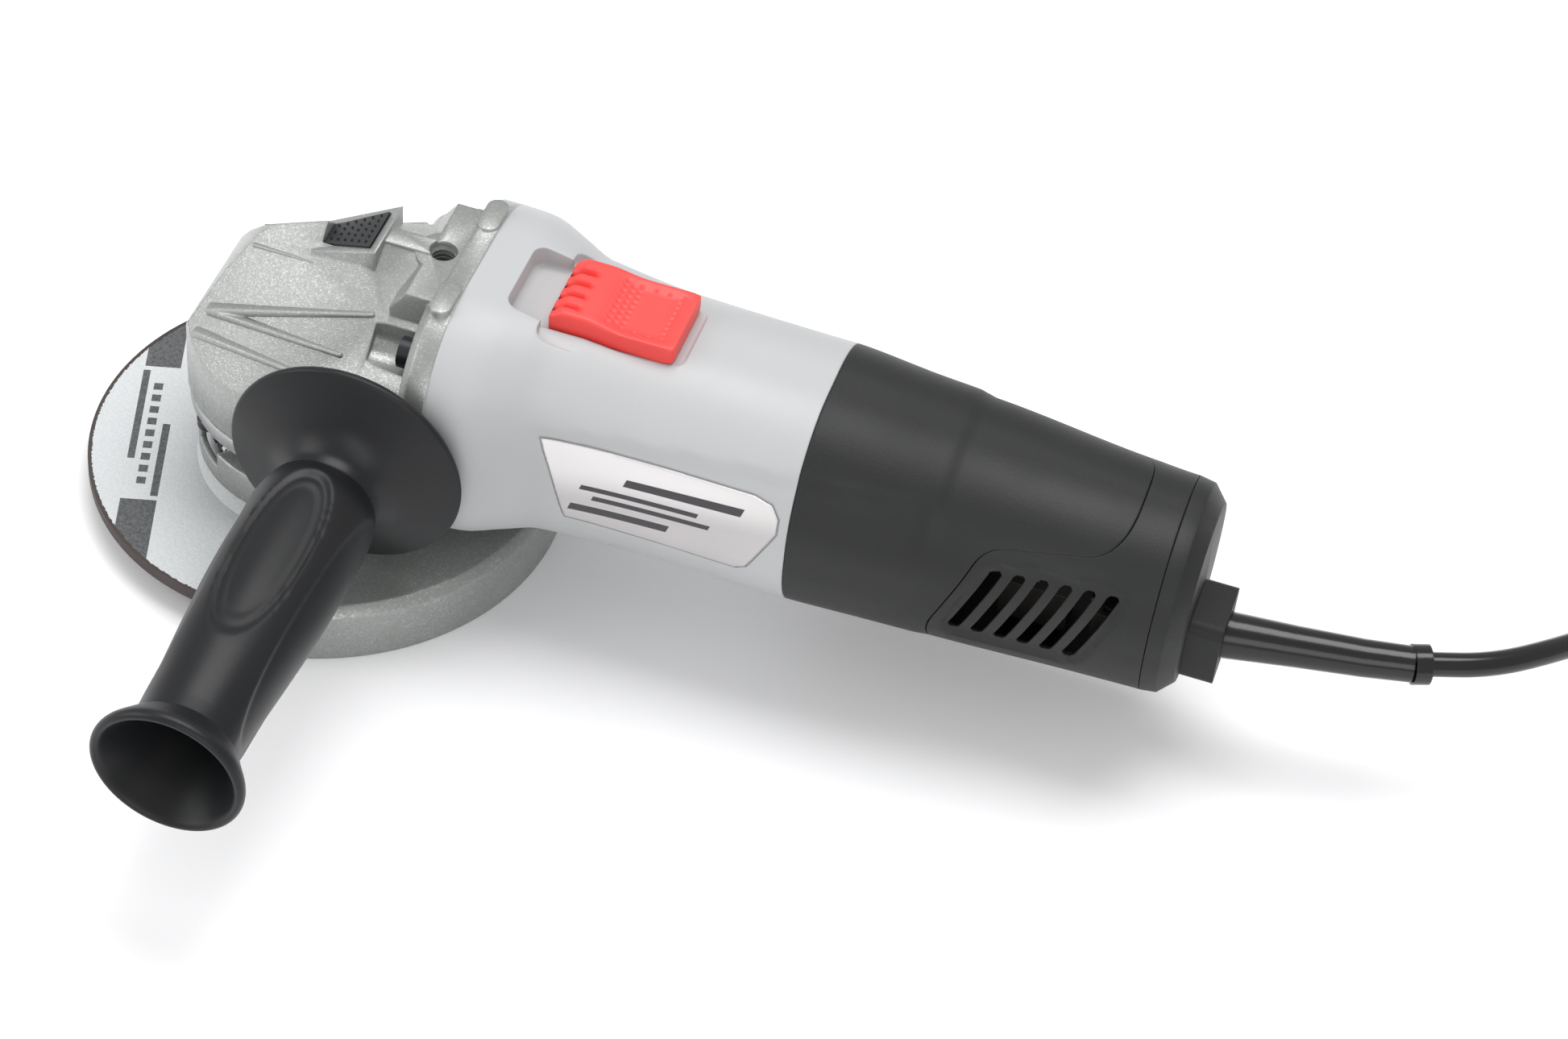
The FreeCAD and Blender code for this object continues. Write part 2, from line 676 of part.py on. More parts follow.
# ================================================================ motor
def armature_shaft():
    pinion_start = gear_radii()[1] - face_width
    return lathe("X", [(pinion_start - 4.0, 0.0), (pinion_start - 4.0, 2.5), (pinion_start, 2.5),
                       (pinion_start, 3.0), (pinion_hub_end, 3.0), (pinion_hub_end, 5.0), (fan_x0, 5.0),
                       (fan_x0, 5.5), (commutator_x0 - 2.0, 5.5), (commutator_x0 - 2.0, 5.0), (130.0, 5.0),
                       (rear_bearing_x, 4.6), (rear_bearing_x, 3.5), (149.5, 3.5), (149.5, 0.0)])


def armature_core():
    core = tube("X", 5.5, armature_r, point(stack_x0, 0, 0), stack_x1 - stack_x0)
    slots = []
    for i in range(12):
        slot = box(stack_x0 - 1, stack_x1 + 1, -0.9, 0.9, armature_r - 4.0, armature_r + 1.0)
        slot.rotate(point(0, 0, 0), Vec(1, 0, 0), 30.0 * i)
        slots.append(slot)
    return core.cut(Part.makeCompound(slots))


def armature_windings():
    ends = []
    for x in (stack_x0 - winding_len, stack_x1):
        ends.append(lathe("X", [(x, 5.5), (x, winding_r - 2.5), (x + 1.5, winding_r),
                                (x + winding_len - 0.5, winding_r), (x + winding_len, winding_r - 0.5),
                                (x + winding_len, 5.5)]))
    for i in range(12):
        bar = box(stack_x0, stack_x1, -0.85, 0.85, armature_r - 3.9, armature_r - 1.0)
        bar.rotate(point(0, 0, 0), Vec(1, 0, 0), 30.0 * i)
        ends.append(bar)
    return Part.makeCompound(ends)


def commutator():
    ring = tube("X", 5.0, commutator_r, point(commutator_x0, 0, 0), commutator_x1 - commutator_x0)
    riser = tube("X", commutator_r - 1.0, commutator_r + 1.6, point(commutator_x0, 0, 0), 2.2)
    cuts = []
    for i in range(24):
        cut = box(commutator_x0 - 1, commutator_x1 + 1, -0.25, 0.25, commutator_r - 0.8, commutator_r + 3.0)
        cut.rotate(point(0, 0, 0), Vec(1, 0, 0), 15.0 * i)
        cuts.append(cut)
    return join([ring, riser]).cut(Part.makeCompound(cuts))


def cooling_fan():
    hub = lathe("X", [(fan_x0, 5.5), (fan_x0, fan_r), (fan_x0 + 1.6, fan_r), (fan_x0 + 2.2, 11.0),
                      (fan_x0 + fan_len, 8.5), (fan_x0 + fan_len, 5.5)])
    blades = []
    for i in range(fan_blades):
        blade = box(fan_x0 + 1.0, fan_x0 + fan_len - 0.8, -0.8, 0.8, 8.0, fan_r - 0.4)
        blade.rotate(point(0, 0, 16.0), Vec(1, 0, 0), 18.0)
        blade.rotate(point(0, 0, 0), Vec(1, 0, 0), 360.0 * i / fan_blades)
        blades.append(blade)
    inside = rod("X", fan_r, point(fan_x0, 0, 0), fan_len)
    return join([hub, join(blades).common(inside)]).cut(rod("X", 5.5, point(fan_x0 - 1, 0, 0), 20.0))


def stator_blank(clearance=0.0, x0=stack_x0, x1=stack_x1):
    flat = stator_flat + clearance
    return rod("X", stator_r + clearance, point(x0, 0, 0), x1 - x0).common(
        box(x0 - 1, x1 + 1, -40, 40, -flat, flat))


def stator_core():
    bore = rod("X", armature_r + air_gap, point(stack_x0 - 1, 0, 0), stack_x1 - stack_x0 + 2)
    windows = [tube("X", armature_r + air_gap - 1, coil_r - 0.5, point(stack_x0 - 1, 0, 0), 60.0).common(
        box(0, 200, y0, y1, -9.0, 9.0)) for y0, y1 in ((13.0, 24.0), (-24.0, -13.0))]
    return stator_blank().cut(bore).cut(Part.makeCompound(windows))


def field_windings():
    coils = []
    inner = armature_r + air_gap + 0.4
    for x in (stack_x0 - coil_len, stack_x1):
        ring = tube("X", inner, coil_r - 1.0, point(x + 0.3, 0, 0), coil_len - 0.6)
        coils.append(ring)
    for y0, y1 in ((13.2, 24.0), (-24.0, -13.2)):
        coils.append(tube("X", inner, coil_r - 1.0, point(stack_x0 - 1, 0, 0), stack_x1 - stack_x0 + 2).common(
            box(0, 200, y0, y1, -8.5, 8.5)))
    return join(coils)


def baffle_ring():
    return tube("X", winding_r + 2.2, 24.6, point(stack_x0 - coil_len - 2.2, 0, 0), 2.2)


# ================================================================ brushes
def brush_box(y0, y1, grow):
    return box(brush_x - brush_half_x - grow, brush_x + brush_half_x + grow, y0, y1,
               -brush_half_z - grow, brush_half_z + grow)


def carbon_brushes():
    one = brush_box(commutator_r + 0.1, commutator_r + 0.1 + brush_len, 0.0)
    one = one.cut(rod("X", commutator_r + 0.1, point(100, 0, 0), 60.0))
    return Part.makeCompound([one, mirrored_y(one)])


def brush_holders():
    start = commutator_r + 3.0
    shell = brush_box(start, holder_out, holder_t + fit_gap).cut(brush_box(start - 1, holder_out - 0.8, fit_gap))
    return Part.makeCompound([shell, mirrored_y(shell)])


def brush_springs():
    start = commutator_r + 0.1 + brush_len
    spring = tube("Y", 1.2, 2.2, point(brush_x, start, 0), holder_out - 0.8 - start)
    return Part.makeCompound([spring, mirrored_y(spring)])


# ================================================================ motor housing
def bulkhead(outer, x0, x1):
    return outer.common(box(x0, x1, -60, 60, -60, 60))


def plate_outline(grow=0.0):
    return ((67.5 - grow, 17.0 + grow), (125.4 + grow, 14.8 + grow), (126.0 + grow, 8.0),
            (119.0 + grow, -5.6 - grow), (74.0 - grow, -5.4 - grow))


def plate_blocks(grow=0.0):
    block = prism_xh(plate_outline(grow), -45.0, -28.6 + grow)
    return [block, mirrored_y(block)]


def motor_housing():
    outer = body(grey_sections)
    shell = outer.cut(body(grey_sections, wall, 40.0, 129.7))
    tray = box(48.0, 98.0, -14.0, 14.0, 30.2, 35.5).common(outer)
    bosses = [rod("X", 4.6, point(41.0, y, h), 16.0).common(outer) for y, h in case_screw_yh]
    seats = []
    for x0, x1 in ((stack_x0 - coil_len, stack_x0 + 4.0), (stack_x1 - 4.0, stack_x1)):
        seats.append(bulkhead(outer, x0, x1).cut(stator_blank(fit_gap, x0 - 1, x1 + 1)))
    front_stop = bulkhead(outer, stack_x0 - 2.2, stack_x0).cut(rod("X", coil_r, point(50, 0, 0), 30.0))
    rear_wall = bulkhead(outer, neck_x0, neck_x0 + 2.5).cut(rod("X", neck_r - 1, point(100, 0, 0), 30.0))
    neck = tube("X", neck_r - neck_wall, neck_r, point(neck_x0, 0, 0), neck_x1 - neck_x0)
    seat_r = bearing_7[1] + 1.5
    seat = tube("X", seat_r, neck_r - 1.0, point(rear_bearing_x - 1.5, 0, 0), 9.5)
    solid = join([shell, tray, rear_wall, neck, seat, front_stop] + seats + bosses)
    cuts = [box(pocket_x0, pocket_x1, -11.2, 11.2, h_pocket, 60.0),
            box(slider_x0 - 2.0, 87.5, -4.0, 4.0, 25.0, 40.0),
            box(neck_x0 - 60, neck_x1, -rod_half_y - 1.0, rod_half_y + 1.0, neck_r + 0.4, 30.2),
            brush_box(-40.0, 40.0, holder_t + 2 * fit_gap).common(rod("X", neck_r + 5.5, point(110, 0, 0), 30.0))]
    for y, h in case_screw_yh:
        cuts.append(rod("X", case_screw_r, point(40.0, y, h), case_screw_x1 - 39.0))
    for y in (8.0, -8.0):
        cuts.append(rod("Z", 1.6, point(134.0, y, -40.0), 30.0))
    for block in plate_blocks(0.1):
        cuts.append(block)
    return solid.cut(Part.makeCompound(cuts[:1])).cut(Part.makeCompound(cuts[1:2])).cut(join(cuts[2:]))


def name_plates():
    outer = body(grey_sections)
    return Part.makeCompound([outer.common(block) for block in plate_blocks()])


def rear_bearing_sleeve():
    return tube("X", bearing_7[1], bearing_7[1] + 1.5 - 0.01, point(rear_bearing_x - 0.5, 0, 0), bearing_7[2] + 1.0)


# ================================================================ rear housing
def rear_shell():
    outer = body(black_sections)
    return outer.cut(body(black_sections, wall, 127.7, 216.0))


def seam_block(grow=0.0):
    outline = [(x - grow, h + grow if h > 0 else h) for x, h in seam_polygon]
    return prism_xh(outline, -60.0, 60.0)


def vent_slots():
    slots = []
    for i in range(slot_count):
        x = slot_x0 + slot_pitch * i
        outline = ((x - slot_slant / 2, h_slot_low), (x - slot_slant / 2 + slot_width, h_slot_low),
                   (x + slot_slant / 2 + slot_width, h_slot_high), (x + slot_slant / 2, h_slot_high))
        slots.append(prism_xh(outline, 14.0, 40.0))
        slots.append(prism_xh(outline, -40.0, -14.0))
    return Part.makeCompound(slots)


def rear_housing():
    lip = black_sections[0][1:]
    lip_out = Part.makeLoft([section(x, *lip, inset=wall + 0.15) for x in (123.7, 131.0)], True, True)
    lip_in = Part.makeLoft([section(x, *lip, inset=wall + 2.2) for x in (122.7, 132.0)], True, True)
    x0, x1, half_y, h0, h1 = switch_box
    inner = body(black_sections, wall - 0.5)
    arms = []
    for side in (1, -1):
        y_near, y_far = sorted((side * (half_y + fit_gap), side * (half_y + 2.4)))
        arms.append(box(x0, x1 - 4, y_near, y_far, h0 - 2.4, 40.0).common(inner))
        lip_y = sorted((side * (half_y - 2.5), side * (half_y + 2.4)))
        arms.append(box(x0, x1 - 4, lip_y[0], lip_y[1], h0 - 2.4, h0 - fit_gap))
    solid = rear_shell().cut(seam_block())
    ring = lip_out.cut(lip_in).cut(box(120, 131.5, -4.2, 4.2, 15, 40))
    solid = join([solid, ring] + arms)
    cuts = []
    for y in (8.0, -8.0):
        cuts.append(rod("Z", 1.8, point(134.0, y, -40.0), 22.0))
        cuts.append(rod("Z", 3.2, point(134.0, y, -40.0), 15.8))
    return solid.cut(Part.makeCompound(cuts))


def housing_screws():
    screws = []
    for y in (8.0, -8.0):
        top = -math.sqrt(neck_r ** 2 - y * y) + 1.6
        shank = rod("Z", 1.5, point(134.0, y, -25.4), top + 25.4)
        screws.append(join([shank, rod("Z", 3.0, point(134.0, y, -25.4), 1.2)]))
    return Part.makeCompound(screws)


def clamp_base():
    return box(199.0, 209.5, -12.0, 12.0, -40.0, h_cord - 4.6)


def rear_cover():
    outer = body(black_sections)
    shell = rear_shell().common(seam_block(-case_gap)).common(box(0, 215.0, -60, 60, -60, 60))
    ribs = [box(x, x + 2.0, -8.0, 8.0, -40.0, -20.0).common(outer) for x in (178.0, 190.0)]
    base = clamp_base().common(outer)
    solid = join([shell, base] + ribs).cut(vent_slots())
    holes = [rod("Z", 1.3, point(204.0, y, -24.0), 10.0) for y in (8.5, -8.5)]
    return solid.cut(Part.makeCompound(holes))


def power_switch():
    x0, x1, half_y, h0, h1 = switch_box
    shell = box(x0, x1, -half_y, half_y, h0, h1)
    slot = box(x0 - 1, x0 + 14.5, -rod_half_y - 0.6, rod_half_y + 0.6, h1 - 4.0, h1 + 1)
    tabs = [box(x1, x1 + 4.0, y - 0.4, y + 0.4, h0 + 3.0, h0 + 7.0) for y in (-5.0, 5.0)]
    return join([shell.cut(slot)] + tabs)


def capacitor():
    return box(176.5, 193.5, -7.0, 7.0, -20.0, -8.5)


def cord_clamp():
    bar = box(200.0, 208.0, -12.0, 12.0, h_cord + 4.4, h_cord + 7.4)
    legs = [box(200.0, 208.0, y0, y1, h_cord - 4.55, h_cord + 4.4) for y0, y1 in ((-12.0, -6.3), (6.3, 12.0))]
    clamp = join([bar] + legs)
    return clamp.cut(Part.makeCompound([rod("Z", 1.6, point(204.0, y, -30.0), 40.0) for y in (8.5, -8.5)]))


def clamp_screws():
    screws = []
    for y in (8.5, -8.5):
        shank = rod("Z", 1.25, point(204.0, y, -23.0), h_cord + 7.4 + 23.0)
        screws.append(join([shank, rod("Z", 2.6, point(204.0, y, h_cord + 7.4), 1.8)]))
    return Part.makeCompound(screws)


def end_cap():
    solid = body(cap_sections)
    inner = Part.makeLoft([section(*cap_sections[0], inset=wall), section(220.0, 20.5, 19.0, -21.8, 18.5)],
                          True, True)
    spigot = Part.makeLoft([section(x, *cap_sections[0][1:], inset=wall + 0.15) for x in (211.5, 216.0)],
                           True, True)
    spigot_in = Part.makeLoft([section(x, *cap_sections[0][1:], inset=wall + 2.0) for x in (210.5, 217.0)],
                              True, True)
    gland = box(221.0, 230.6, -9.2, 9.2, h_cord - 9.4, h_cord + 9.0)
    gland = gland.makeFillet(3.0, [e for e in gland.Edges if abs(e.tangentAt(e.FirstParameter).x) > 0.9])
    solid = join([solid.cut(inner), spigot.cut(spigot_in), gland])
    return solid.cut(rod("X", 6.0, point(205.0, 0.15, h_cord), 40.0))


# ================================================================ switch slider
def switch_slider():
    side = ((slider_x0, h_slider_seat), (slider_x0, h_slider_top - 1.0), (slider_x0 + 2.5, h_slider_top + 0.9),
            (slider_x0 + 9.0, h_slider_top + 0.9), (slider_x0 + 13.0, h_slider_top - 0.6),
            (slider_x1 - 9.0, h_slider_top - 1.2), (slider_x1 - 3.0, h_slider_top + 0.2),
            (slider_x1, h_slider_top - 1.4), (slider_x1, h_slider_seat))
    cap = prism_xh(side, -slider_half_y, slider_half_y)
    stem = box(72.0, 80.0, -rod_half_y, rod_half_y, h_rod_front + rod_t, h_slider_seat + 0.5)
    return join([cap, stem])


def switch_rod():
    side = ((71.0, h_rod_front), (71.0, h_rod_front + rod_t), (117.0, h_rod_front + rod_t),
            (124.0, h_rod_rear + rod_t), (175.0, h_rod_rear + rod_t), (175.0, 12.2), (172.0, 12.2),
            (172.0, h_rod_rear), (123.0, h_rod_rear), (116.0, h_rod_front))
    return prism_xh(side, -rod_half_y, rod_half_y)


# ================================================================ side handle
def handle_grip():
    bore = stud_r + 0.02
    profile = [(-boss_y - out, radius) for out, radius in grip_stations + hollow_stations]
    profile = profile + [(-boss_y - hollow_stations[-1][0], 0.0), (-boss_y - stud_out - 0.5, 0.0),
                         (-boss_y - stud_out - 0.5, bore), (-boss_y - grip_stations[0][0], bore)]
    return lathe("Y", profile, x=handle_x, h=h_handle)


def handle_stud():
    tip = -boss_y + socket_depth - 1.5
    face = -boss_y - grip_stations[0][0]
    end = -boss_y - stud_out
    return lathe("Y", [(tip, 0.0), (tip, stud_thread_r), (face, stud_thread_r), (face, stud_r),
                       (end, stud_r), (end, 0.0)], x=handle_x, h=h_handle)


# ================================================================ cord
def circle(center, normal, radius):
    return Part.Wire(Part.makeCircle(radius, center, normal))


def bend_sleeve():
    stations = [(point(x, y, h_cord + dh), r) for x, y, dh, r in sleeve_stations]
    rings = []
    for i, (center, radius) in enumerate(stations):
        ahead = stations[min(i + 1, len(stations) - 1)][0]
        behind = stations[max(i - 1, 0)][0]
        rings.append(circle(center, ahead - behind, radius))
    body_part = Part.makeLoft(rings, True, True)
    collar = rod("X", 8.2, point(211.0, 0, h_cord), 3.0)
    inner = rod("X", 4.4, point(198.0, 0, h_cord), 13.5)
    ring = Part.makeCylinder(sleeve_ring[0], sleeve_ring[1], sleeve_end()[0] - sleeve_end()[1] * sleeve_ring[1],
                             sleeve_end()[1])
    return join([body_part, collar, inner, ring])


def sleeve_end():
    """Centre and direction of the sleeve's outer face, where the free cord starts."""
    x, y, dh, _ = sleeve_stations[-1]
    center = point(x, y, h_cord + dh)
    direction = point(*lead_route[0]) - center
    direction.normalize()
    return center + direction * (sleeve_ring[1] - 0.4), direction


def rounded_path(points):
    """Straight runs joined by tangent arcs, each as large as its two runs allow."""
    edges = []
    radii = []
    start = points[0]
    for before, corner, after in zip(points, points[1:], points[2:]):
        back = before - corner
        ahead = after - corner
        reach = 0.45 * min(back.Length, ahead.Length)
        back.normalize()
        ahead.normalize()
        half_turn = (math.pi - back.getAngle(ahead)) / 2
        radius = reach / math.tan(half_turn)
        radii.append(radius)
        enter = corner + back * reach
        leave = corner + ahead * reach
        bisector = back + ahead
        bisector.normalize()
        middle = corner + bisector * (radius / math.cos(half_turn) - radius)
        edges.append(Part.LineSegment(start, enter).toShape())
        edges.append(Part.Arc(enter, middle, leave).toShape())
        start = leave
    edges.append(Part.LineSegment(start, points[-1]).toShape())
    return Part.Wire(edges), radii


def cord_piece(points, label):
    path, radii = rounded_path(points)
    profile = circle(points[0], points[1] - points[0], cord_r)
    solid = path.makePipeShell([profile], True, False)
    expected = math.pi * cord_r ** 2 * path.Length
    print(label, "length", round(path.Length, 1), "volume ratio", round(solid.Volume / expected, 4),
          "radii", [round(r, 1) for r in radii])
    return solid


def lead_points():
    return [sleeve_end()[0]] + [point(*p) for p in lead_route]


def plug_frame():
    """Start of the plug's neck and the plug's direction, level with the surface."""
    end = point(*tail_route[-1])
    before = point(*tail_route[-2])
    direction = Vec(end.x - before.x, end.y - before.y, 0)
    direction.normalize()
    return end, direction


def cord_tube():
    tail = [point(*p) for p in tail_route]
    return Part.makeCompound([cord_piece(lead_points(), "lead"), cord_piece(tail, "tail")])


def cord_coil():
    half_r, half_h = coil_half
    low = h_floor + 0.05
    inner, outer = coil_mid_r - half_r, coil_mid_r + half_r
    b = 3.0
    profile = [(low, inner + b), (low, outer - b), (low + b, outer), (low + 2 * half_h - b, outer),
               (low + 2 * half_h, outer - b), (low + 2 * half_h, inner + b), (low + 2 * half_h - b, inner),
               (low + b, inner)]
    return lathe("Z", profile, x=coil_center[0], y=coil_center[1])


def coil_tie():
    half_r, half_h = coil_half
    low = h_floor + 0.05
    y = coil_center[1] - coil_mid_r
    x = coil_center[0]
    outer = box(x - 3.0, x + 3.0, y - half_r - 0.8, y + half_r + 0.8, low, low + 2 * half_h + 0.8)
    inner = box(x - 4.0, x + 4.0, y - half_r + 0.1, y + half_r - 0.1, low - 1, low + 2 * half_h + 0.05)
    return outer.cut(inner).cut(cord_coil())


def plug_body():
    end, direction = plug_frame()
    length, root, mouth = plug_neck
    neck = Part.makeCone(mouth, root, length, end, direction)
    side = direction.cross(Vec(0, 0, 1))
    base = end + direction * length
    wires = []
    for along, share in ((-1.0, 0.45), (8.0, 0.8), (16.0, 1.0), (plug_len, 1.0)):
        half_y = plug_half_y * share
        half_z = plug_half_z * (0.5 + 0.5 * share)
        c = 4.0
        center = base + direction * along
        corners = [(half_y, half_z - c), (half_y - c, half_z), (-half_y + c, half_z), (-half_y, half_z - c),
                   (-half_y, -half_z + c), (-half_y + c, -half_z), (half_y - c, -half_z), (half_y, -half_z + c)]
        ring = [center + side * a + Vec(0, 0, b) for a, b in corners]
        wires.append(Part.makePolygon(ring + [ring[0]]))
    return join([neck, Part.makeLoft(wires, True, True)])


def plug_pins():
    end, direction = plug_frame()
    side = direction.cross(Vec(0, 0, 1))
    face = end + direction * (plug_neck[0] + plug_len)
    pins = [Part.makeCylinder(pin_r, pin_len, face + side * (s * pin_pitch / 2), direction) for s in (1, -1)]
    return Part.makeCompound(pins)


# ================================================================ build
def main():
    os.makedirs("parts", exist_ok=True)
    spindle_bearing = bearing(bearing_12, "Z", point(0, 0, h_bearing_12))
    front_bearing = bearing(bearing_10, "X", point(front_bearing_x, 0, 0))
    rear_bearing = bearing(bearing_7, "X", point(rear_bearing_x, 0, 0))
    save("gear_case", gear_case())
    save("bearing_cover", bearing_cover())
    save("cover_screws", cover_screws())
    save("case_screws", case_screws())
    save("bearing_plate", bearing_plate())
    save("needle_sleeve", tube("Z", journal_r + fit_gap, needle_r - 0.01, point(0, 0, h_chamber_top + 0.5), needle_len))
    save("spindle_bearing_outer", spindle_bearing[0])
    save("spindle_bearing_inner", spindle_bearing[1])
    save("bearing_balls", Part.makeCompound(spindle_bearing[2] + front_bearing[2] + rear_bearing[2]))
    save("front_bearing_outer", front_bearing[0])
    save("front_bearing_inner", front_bearing[1])
    save("rear_bearing_outer", rear_bearing[0])
    save("rear_bearing_inner", rear_bearing[1])
    save("rear_bearing_sleeve", rear_bearing_sleeve())
    save("output_spindle", output_spindle())
    save("crown_gear", crown_gear())
    save("pinion_gear", pinion_gear())
    save("pinion_nut", pinion_nut())
    save("inner_flange", inner_flange())
    save("cutting_disc", cutting_disc())
    save("lock_nut", lock_nut())
    save("lock_button", lock_button())
    save("lock_pin", lock_pin())
    save("lock_spring", lock_spring())
    save("guard_shell", guard_shell())
    save("guard_clamp_band", guard_clamp_band())
    save("guard_clamp_screw", guard_clamp_screw())
    save("armature_shaft", armature_shaft())
    save("armature_core", armature_core())
    save("armature_windings", armature_windings())
    save("commutator", commutator())
    save("cooling_fan", cooling_fan())
    save("stator_core", stator_core())
    save("field_windings", field_windings())
    save("baffle_ring", baffle_ring())
    save("carbon_brushes", carbon_brushes())
    save("brush_holders", brush_holders())
    save("brush_springs", brush_springs())
    save("motor_housing", motor_housing())
    save("name_plates", name_plates())
    save("rear_housing", rear_housing())
    save("housing_screws", housing_screws())
    save("rear_cover", rear_cover())
    save("end_cap", end_cap())
    save("power_switch", power_switch())
    save("capacitor", capacitor())
    save("cord_clamp", cord_clamp())
    save("clamp_screws", clamp_screws())
    save("switch_slider", switch_slider())
    save("switch_rod", switch_rod())
    save("handle_grip", handle_grip())
    save("handle_stud", handle_stud())
    save("bend_sleeve", bend_sleeve())
    save("cord_tube", cord_tube())
    save("cord_coil", cord_coil())
    save("coil_tie", coil_tie())
    save("plug_body", plug_body())
    save("plug_pins", plug_pins())


main()
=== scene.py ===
# %% [markdown]
# # A small angle grinder, dressed for its portrait
# The engineering model already holds every working part in its true place and size.
# This notebook gives those parts their looks: it adds the camera and a soft studio,
# lays the mains lead, builds the finishes, and models the visible shells in detail.

# %% The frame
import json
import math
import bmesh
import bpy
from mathutils import Matrix, Vector


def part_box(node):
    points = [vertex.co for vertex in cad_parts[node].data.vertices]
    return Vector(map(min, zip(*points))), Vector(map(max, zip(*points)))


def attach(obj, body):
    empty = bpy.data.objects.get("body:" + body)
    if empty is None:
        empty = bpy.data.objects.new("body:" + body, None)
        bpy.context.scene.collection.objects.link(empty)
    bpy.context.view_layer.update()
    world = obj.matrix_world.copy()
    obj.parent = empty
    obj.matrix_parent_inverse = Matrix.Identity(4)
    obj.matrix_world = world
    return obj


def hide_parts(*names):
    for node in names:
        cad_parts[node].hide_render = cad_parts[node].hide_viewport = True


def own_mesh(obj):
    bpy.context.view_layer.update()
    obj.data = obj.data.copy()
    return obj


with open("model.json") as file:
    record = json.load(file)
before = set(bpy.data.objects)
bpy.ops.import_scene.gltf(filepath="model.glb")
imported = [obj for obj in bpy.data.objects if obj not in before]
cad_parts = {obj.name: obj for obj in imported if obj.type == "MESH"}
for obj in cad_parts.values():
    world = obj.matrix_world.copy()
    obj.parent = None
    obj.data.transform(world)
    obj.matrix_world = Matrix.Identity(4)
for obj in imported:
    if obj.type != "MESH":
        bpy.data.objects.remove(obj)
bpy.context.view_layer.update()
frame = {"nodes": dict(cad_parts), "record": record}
mm = 0.001
axis_z = 47.2                      # height of the motor axis over the spindle's free end


def at(x, y, h):
    """A place in metres, from millimetres with h counted from the motor axis."""
    return Vector((x * mm, y * mm, (axis_z + h) * mm))


def new_object(name, data):
    """Puts a mesh, a curve, a lamp or a camera into the scene."""
    made = bpy.data.objects.new(name, data)
    bpy.context.scene.collection.objects.link(made)
    return made


# %% [markdown]
# The camera looks down on the grinder from its handle side, a little rolled, through a
# long lens. A long lens from far away keeps the cylinder of the motor nearly parallel.

# %% Camera
azimuth, elevation, roll = math.radians(13.38), math.radians(45.82), math.radians(6.49)
back = Vector((math.sin(azimuth) * math.cos(elevation), -math.cos(azimuth) * math.cos(elevation),
               math.sin(elevation)))
level = Vector((math.cos(azimuth), math.sin(azimuth), 0.0))
upright = back.cross(level)
right = level * math.cos(roll) + upright * math.sin(roll)
up = upright * math.cos(roll) - level * math.sin(roll)
lens = bpy.data.cameras.new("studio_camera")
lens.lens, lens.sensor_width, lens.clip_start, lens.clip_end = 93.18, 36.0, 0.05, 20.0
camera = new_object("studio_camera", lens)
place = Matrix((right, up, back)).transposed().to_4x4()
place.translation = Vector((0.2788, -0.6650, 0.7335))
camera.matrix_world = place
bpy.context.scene.camera = camera
print("camera at", tuple(round(v, 3) for v in place.translation))

# %% [markdown]
# A workshop catalogue shows a tool on white. A big plain floor and three wide, soft
# lamps do that: one above for the broad highlight along the barrel, one low at the
# left for the casting, one from the front, on the camera's side.

# %% Floor and lights
def choose(*objects):
    bpy.ops.object.select_all(action="DESELECT")
    for piece in objects:
        piece.select_set(True)
    bpy.context.view_layer.objects.active = objects[0] if objects else None


def new_material(name):
    """A material with nodes, and its main shader."""
    material = bpy.data.materials.new(name)
    material.use_nodes = True
    return material, material.node_tree.nodes["Principled BSDF"]


choose()
bpy.ops.mesh.primitive_plane_add(size=6.0, location=(0.1, 0.0, -0.0016))
floor = bpy.context.object
floor.name = "studio_floor"
paper, sheen = new_material("paper_floor")
sheen.inputs["Base Color"].default_value = (0.93, 0.93, 0.94, 1.0)
sheen.inputs["Roughness"].default_value = 0.8
floor.data.materials.append(paper)


def soft_lamp(name, spot, aim, size, power):
    """A wide lamp at spot that points at aim."""
    light = bpy.data.lights.new(name, "AREA")
    light.shape, light.size, light.size_y, light.energy = "RECTANGLE", size[0], size[1], power
    lamp = new_object(name, light)
    lamp.location = spot
    lamp.rotation_euler = (Vector(aim) - Vector(spot)).to_track_quat("-Z", "Y").to_euler()


soft_lamp("lamp_above", (0.15, 0.35, 1.5), (0.1, 0.0, 0.0), (1.3, 0.8), 18.0)
soft_lamp("lamp_left", (-1.1, -0.5, 0.8), (0.0, 0.0, 0.03), (0.9, 0.9), 7.0)
soft_lamp("lamp_front", (0.5, -1.3, 0.7), (0.1, 0.0, 0.03), (1.2, 0.7), 5.0)
air_light = 0.62
world = bpy.data.worlds.new("studio_air")
world.use_nodes = True
air = world.node_tree.nodes["Background"]
air.inputs["Color"].default_value = (1.0, 1.0, 1.0, 1.0)
air.inputs["Strength"].default_value = air_light
bpy.context.scene.world = world
bpy.context.scene.view_settings.view_transform = "Standard"

# %% [markdown]
# ## Finishes
# Every finish is built from three shared effects: a moulded grain, the worn edge, and
# the sparkle of aluminium paint. Each is a small node group that only puts out numbers
# or normals, so each material can use it with its own values.

# %% Shared effects
def effect(name, takes, gives):
    """An empty node group with its inputs and outputs."""
    group = bpy.data.node_groups.new(name, "ShaderNodeTree")
    for label, value in takes:
        socket = group.interface.new_socket(label, in_out="INPUT", socket_type="NodeSocketFloat")
        socket.default_value = value
    for label, kind in gives:
        group.interface.new_socket(label, in_out="OUTPUT", socket_type=kind)
    return group, group.nodes.new("NodeGroupInput"), group.nodes.new("NodeGroupOutput")


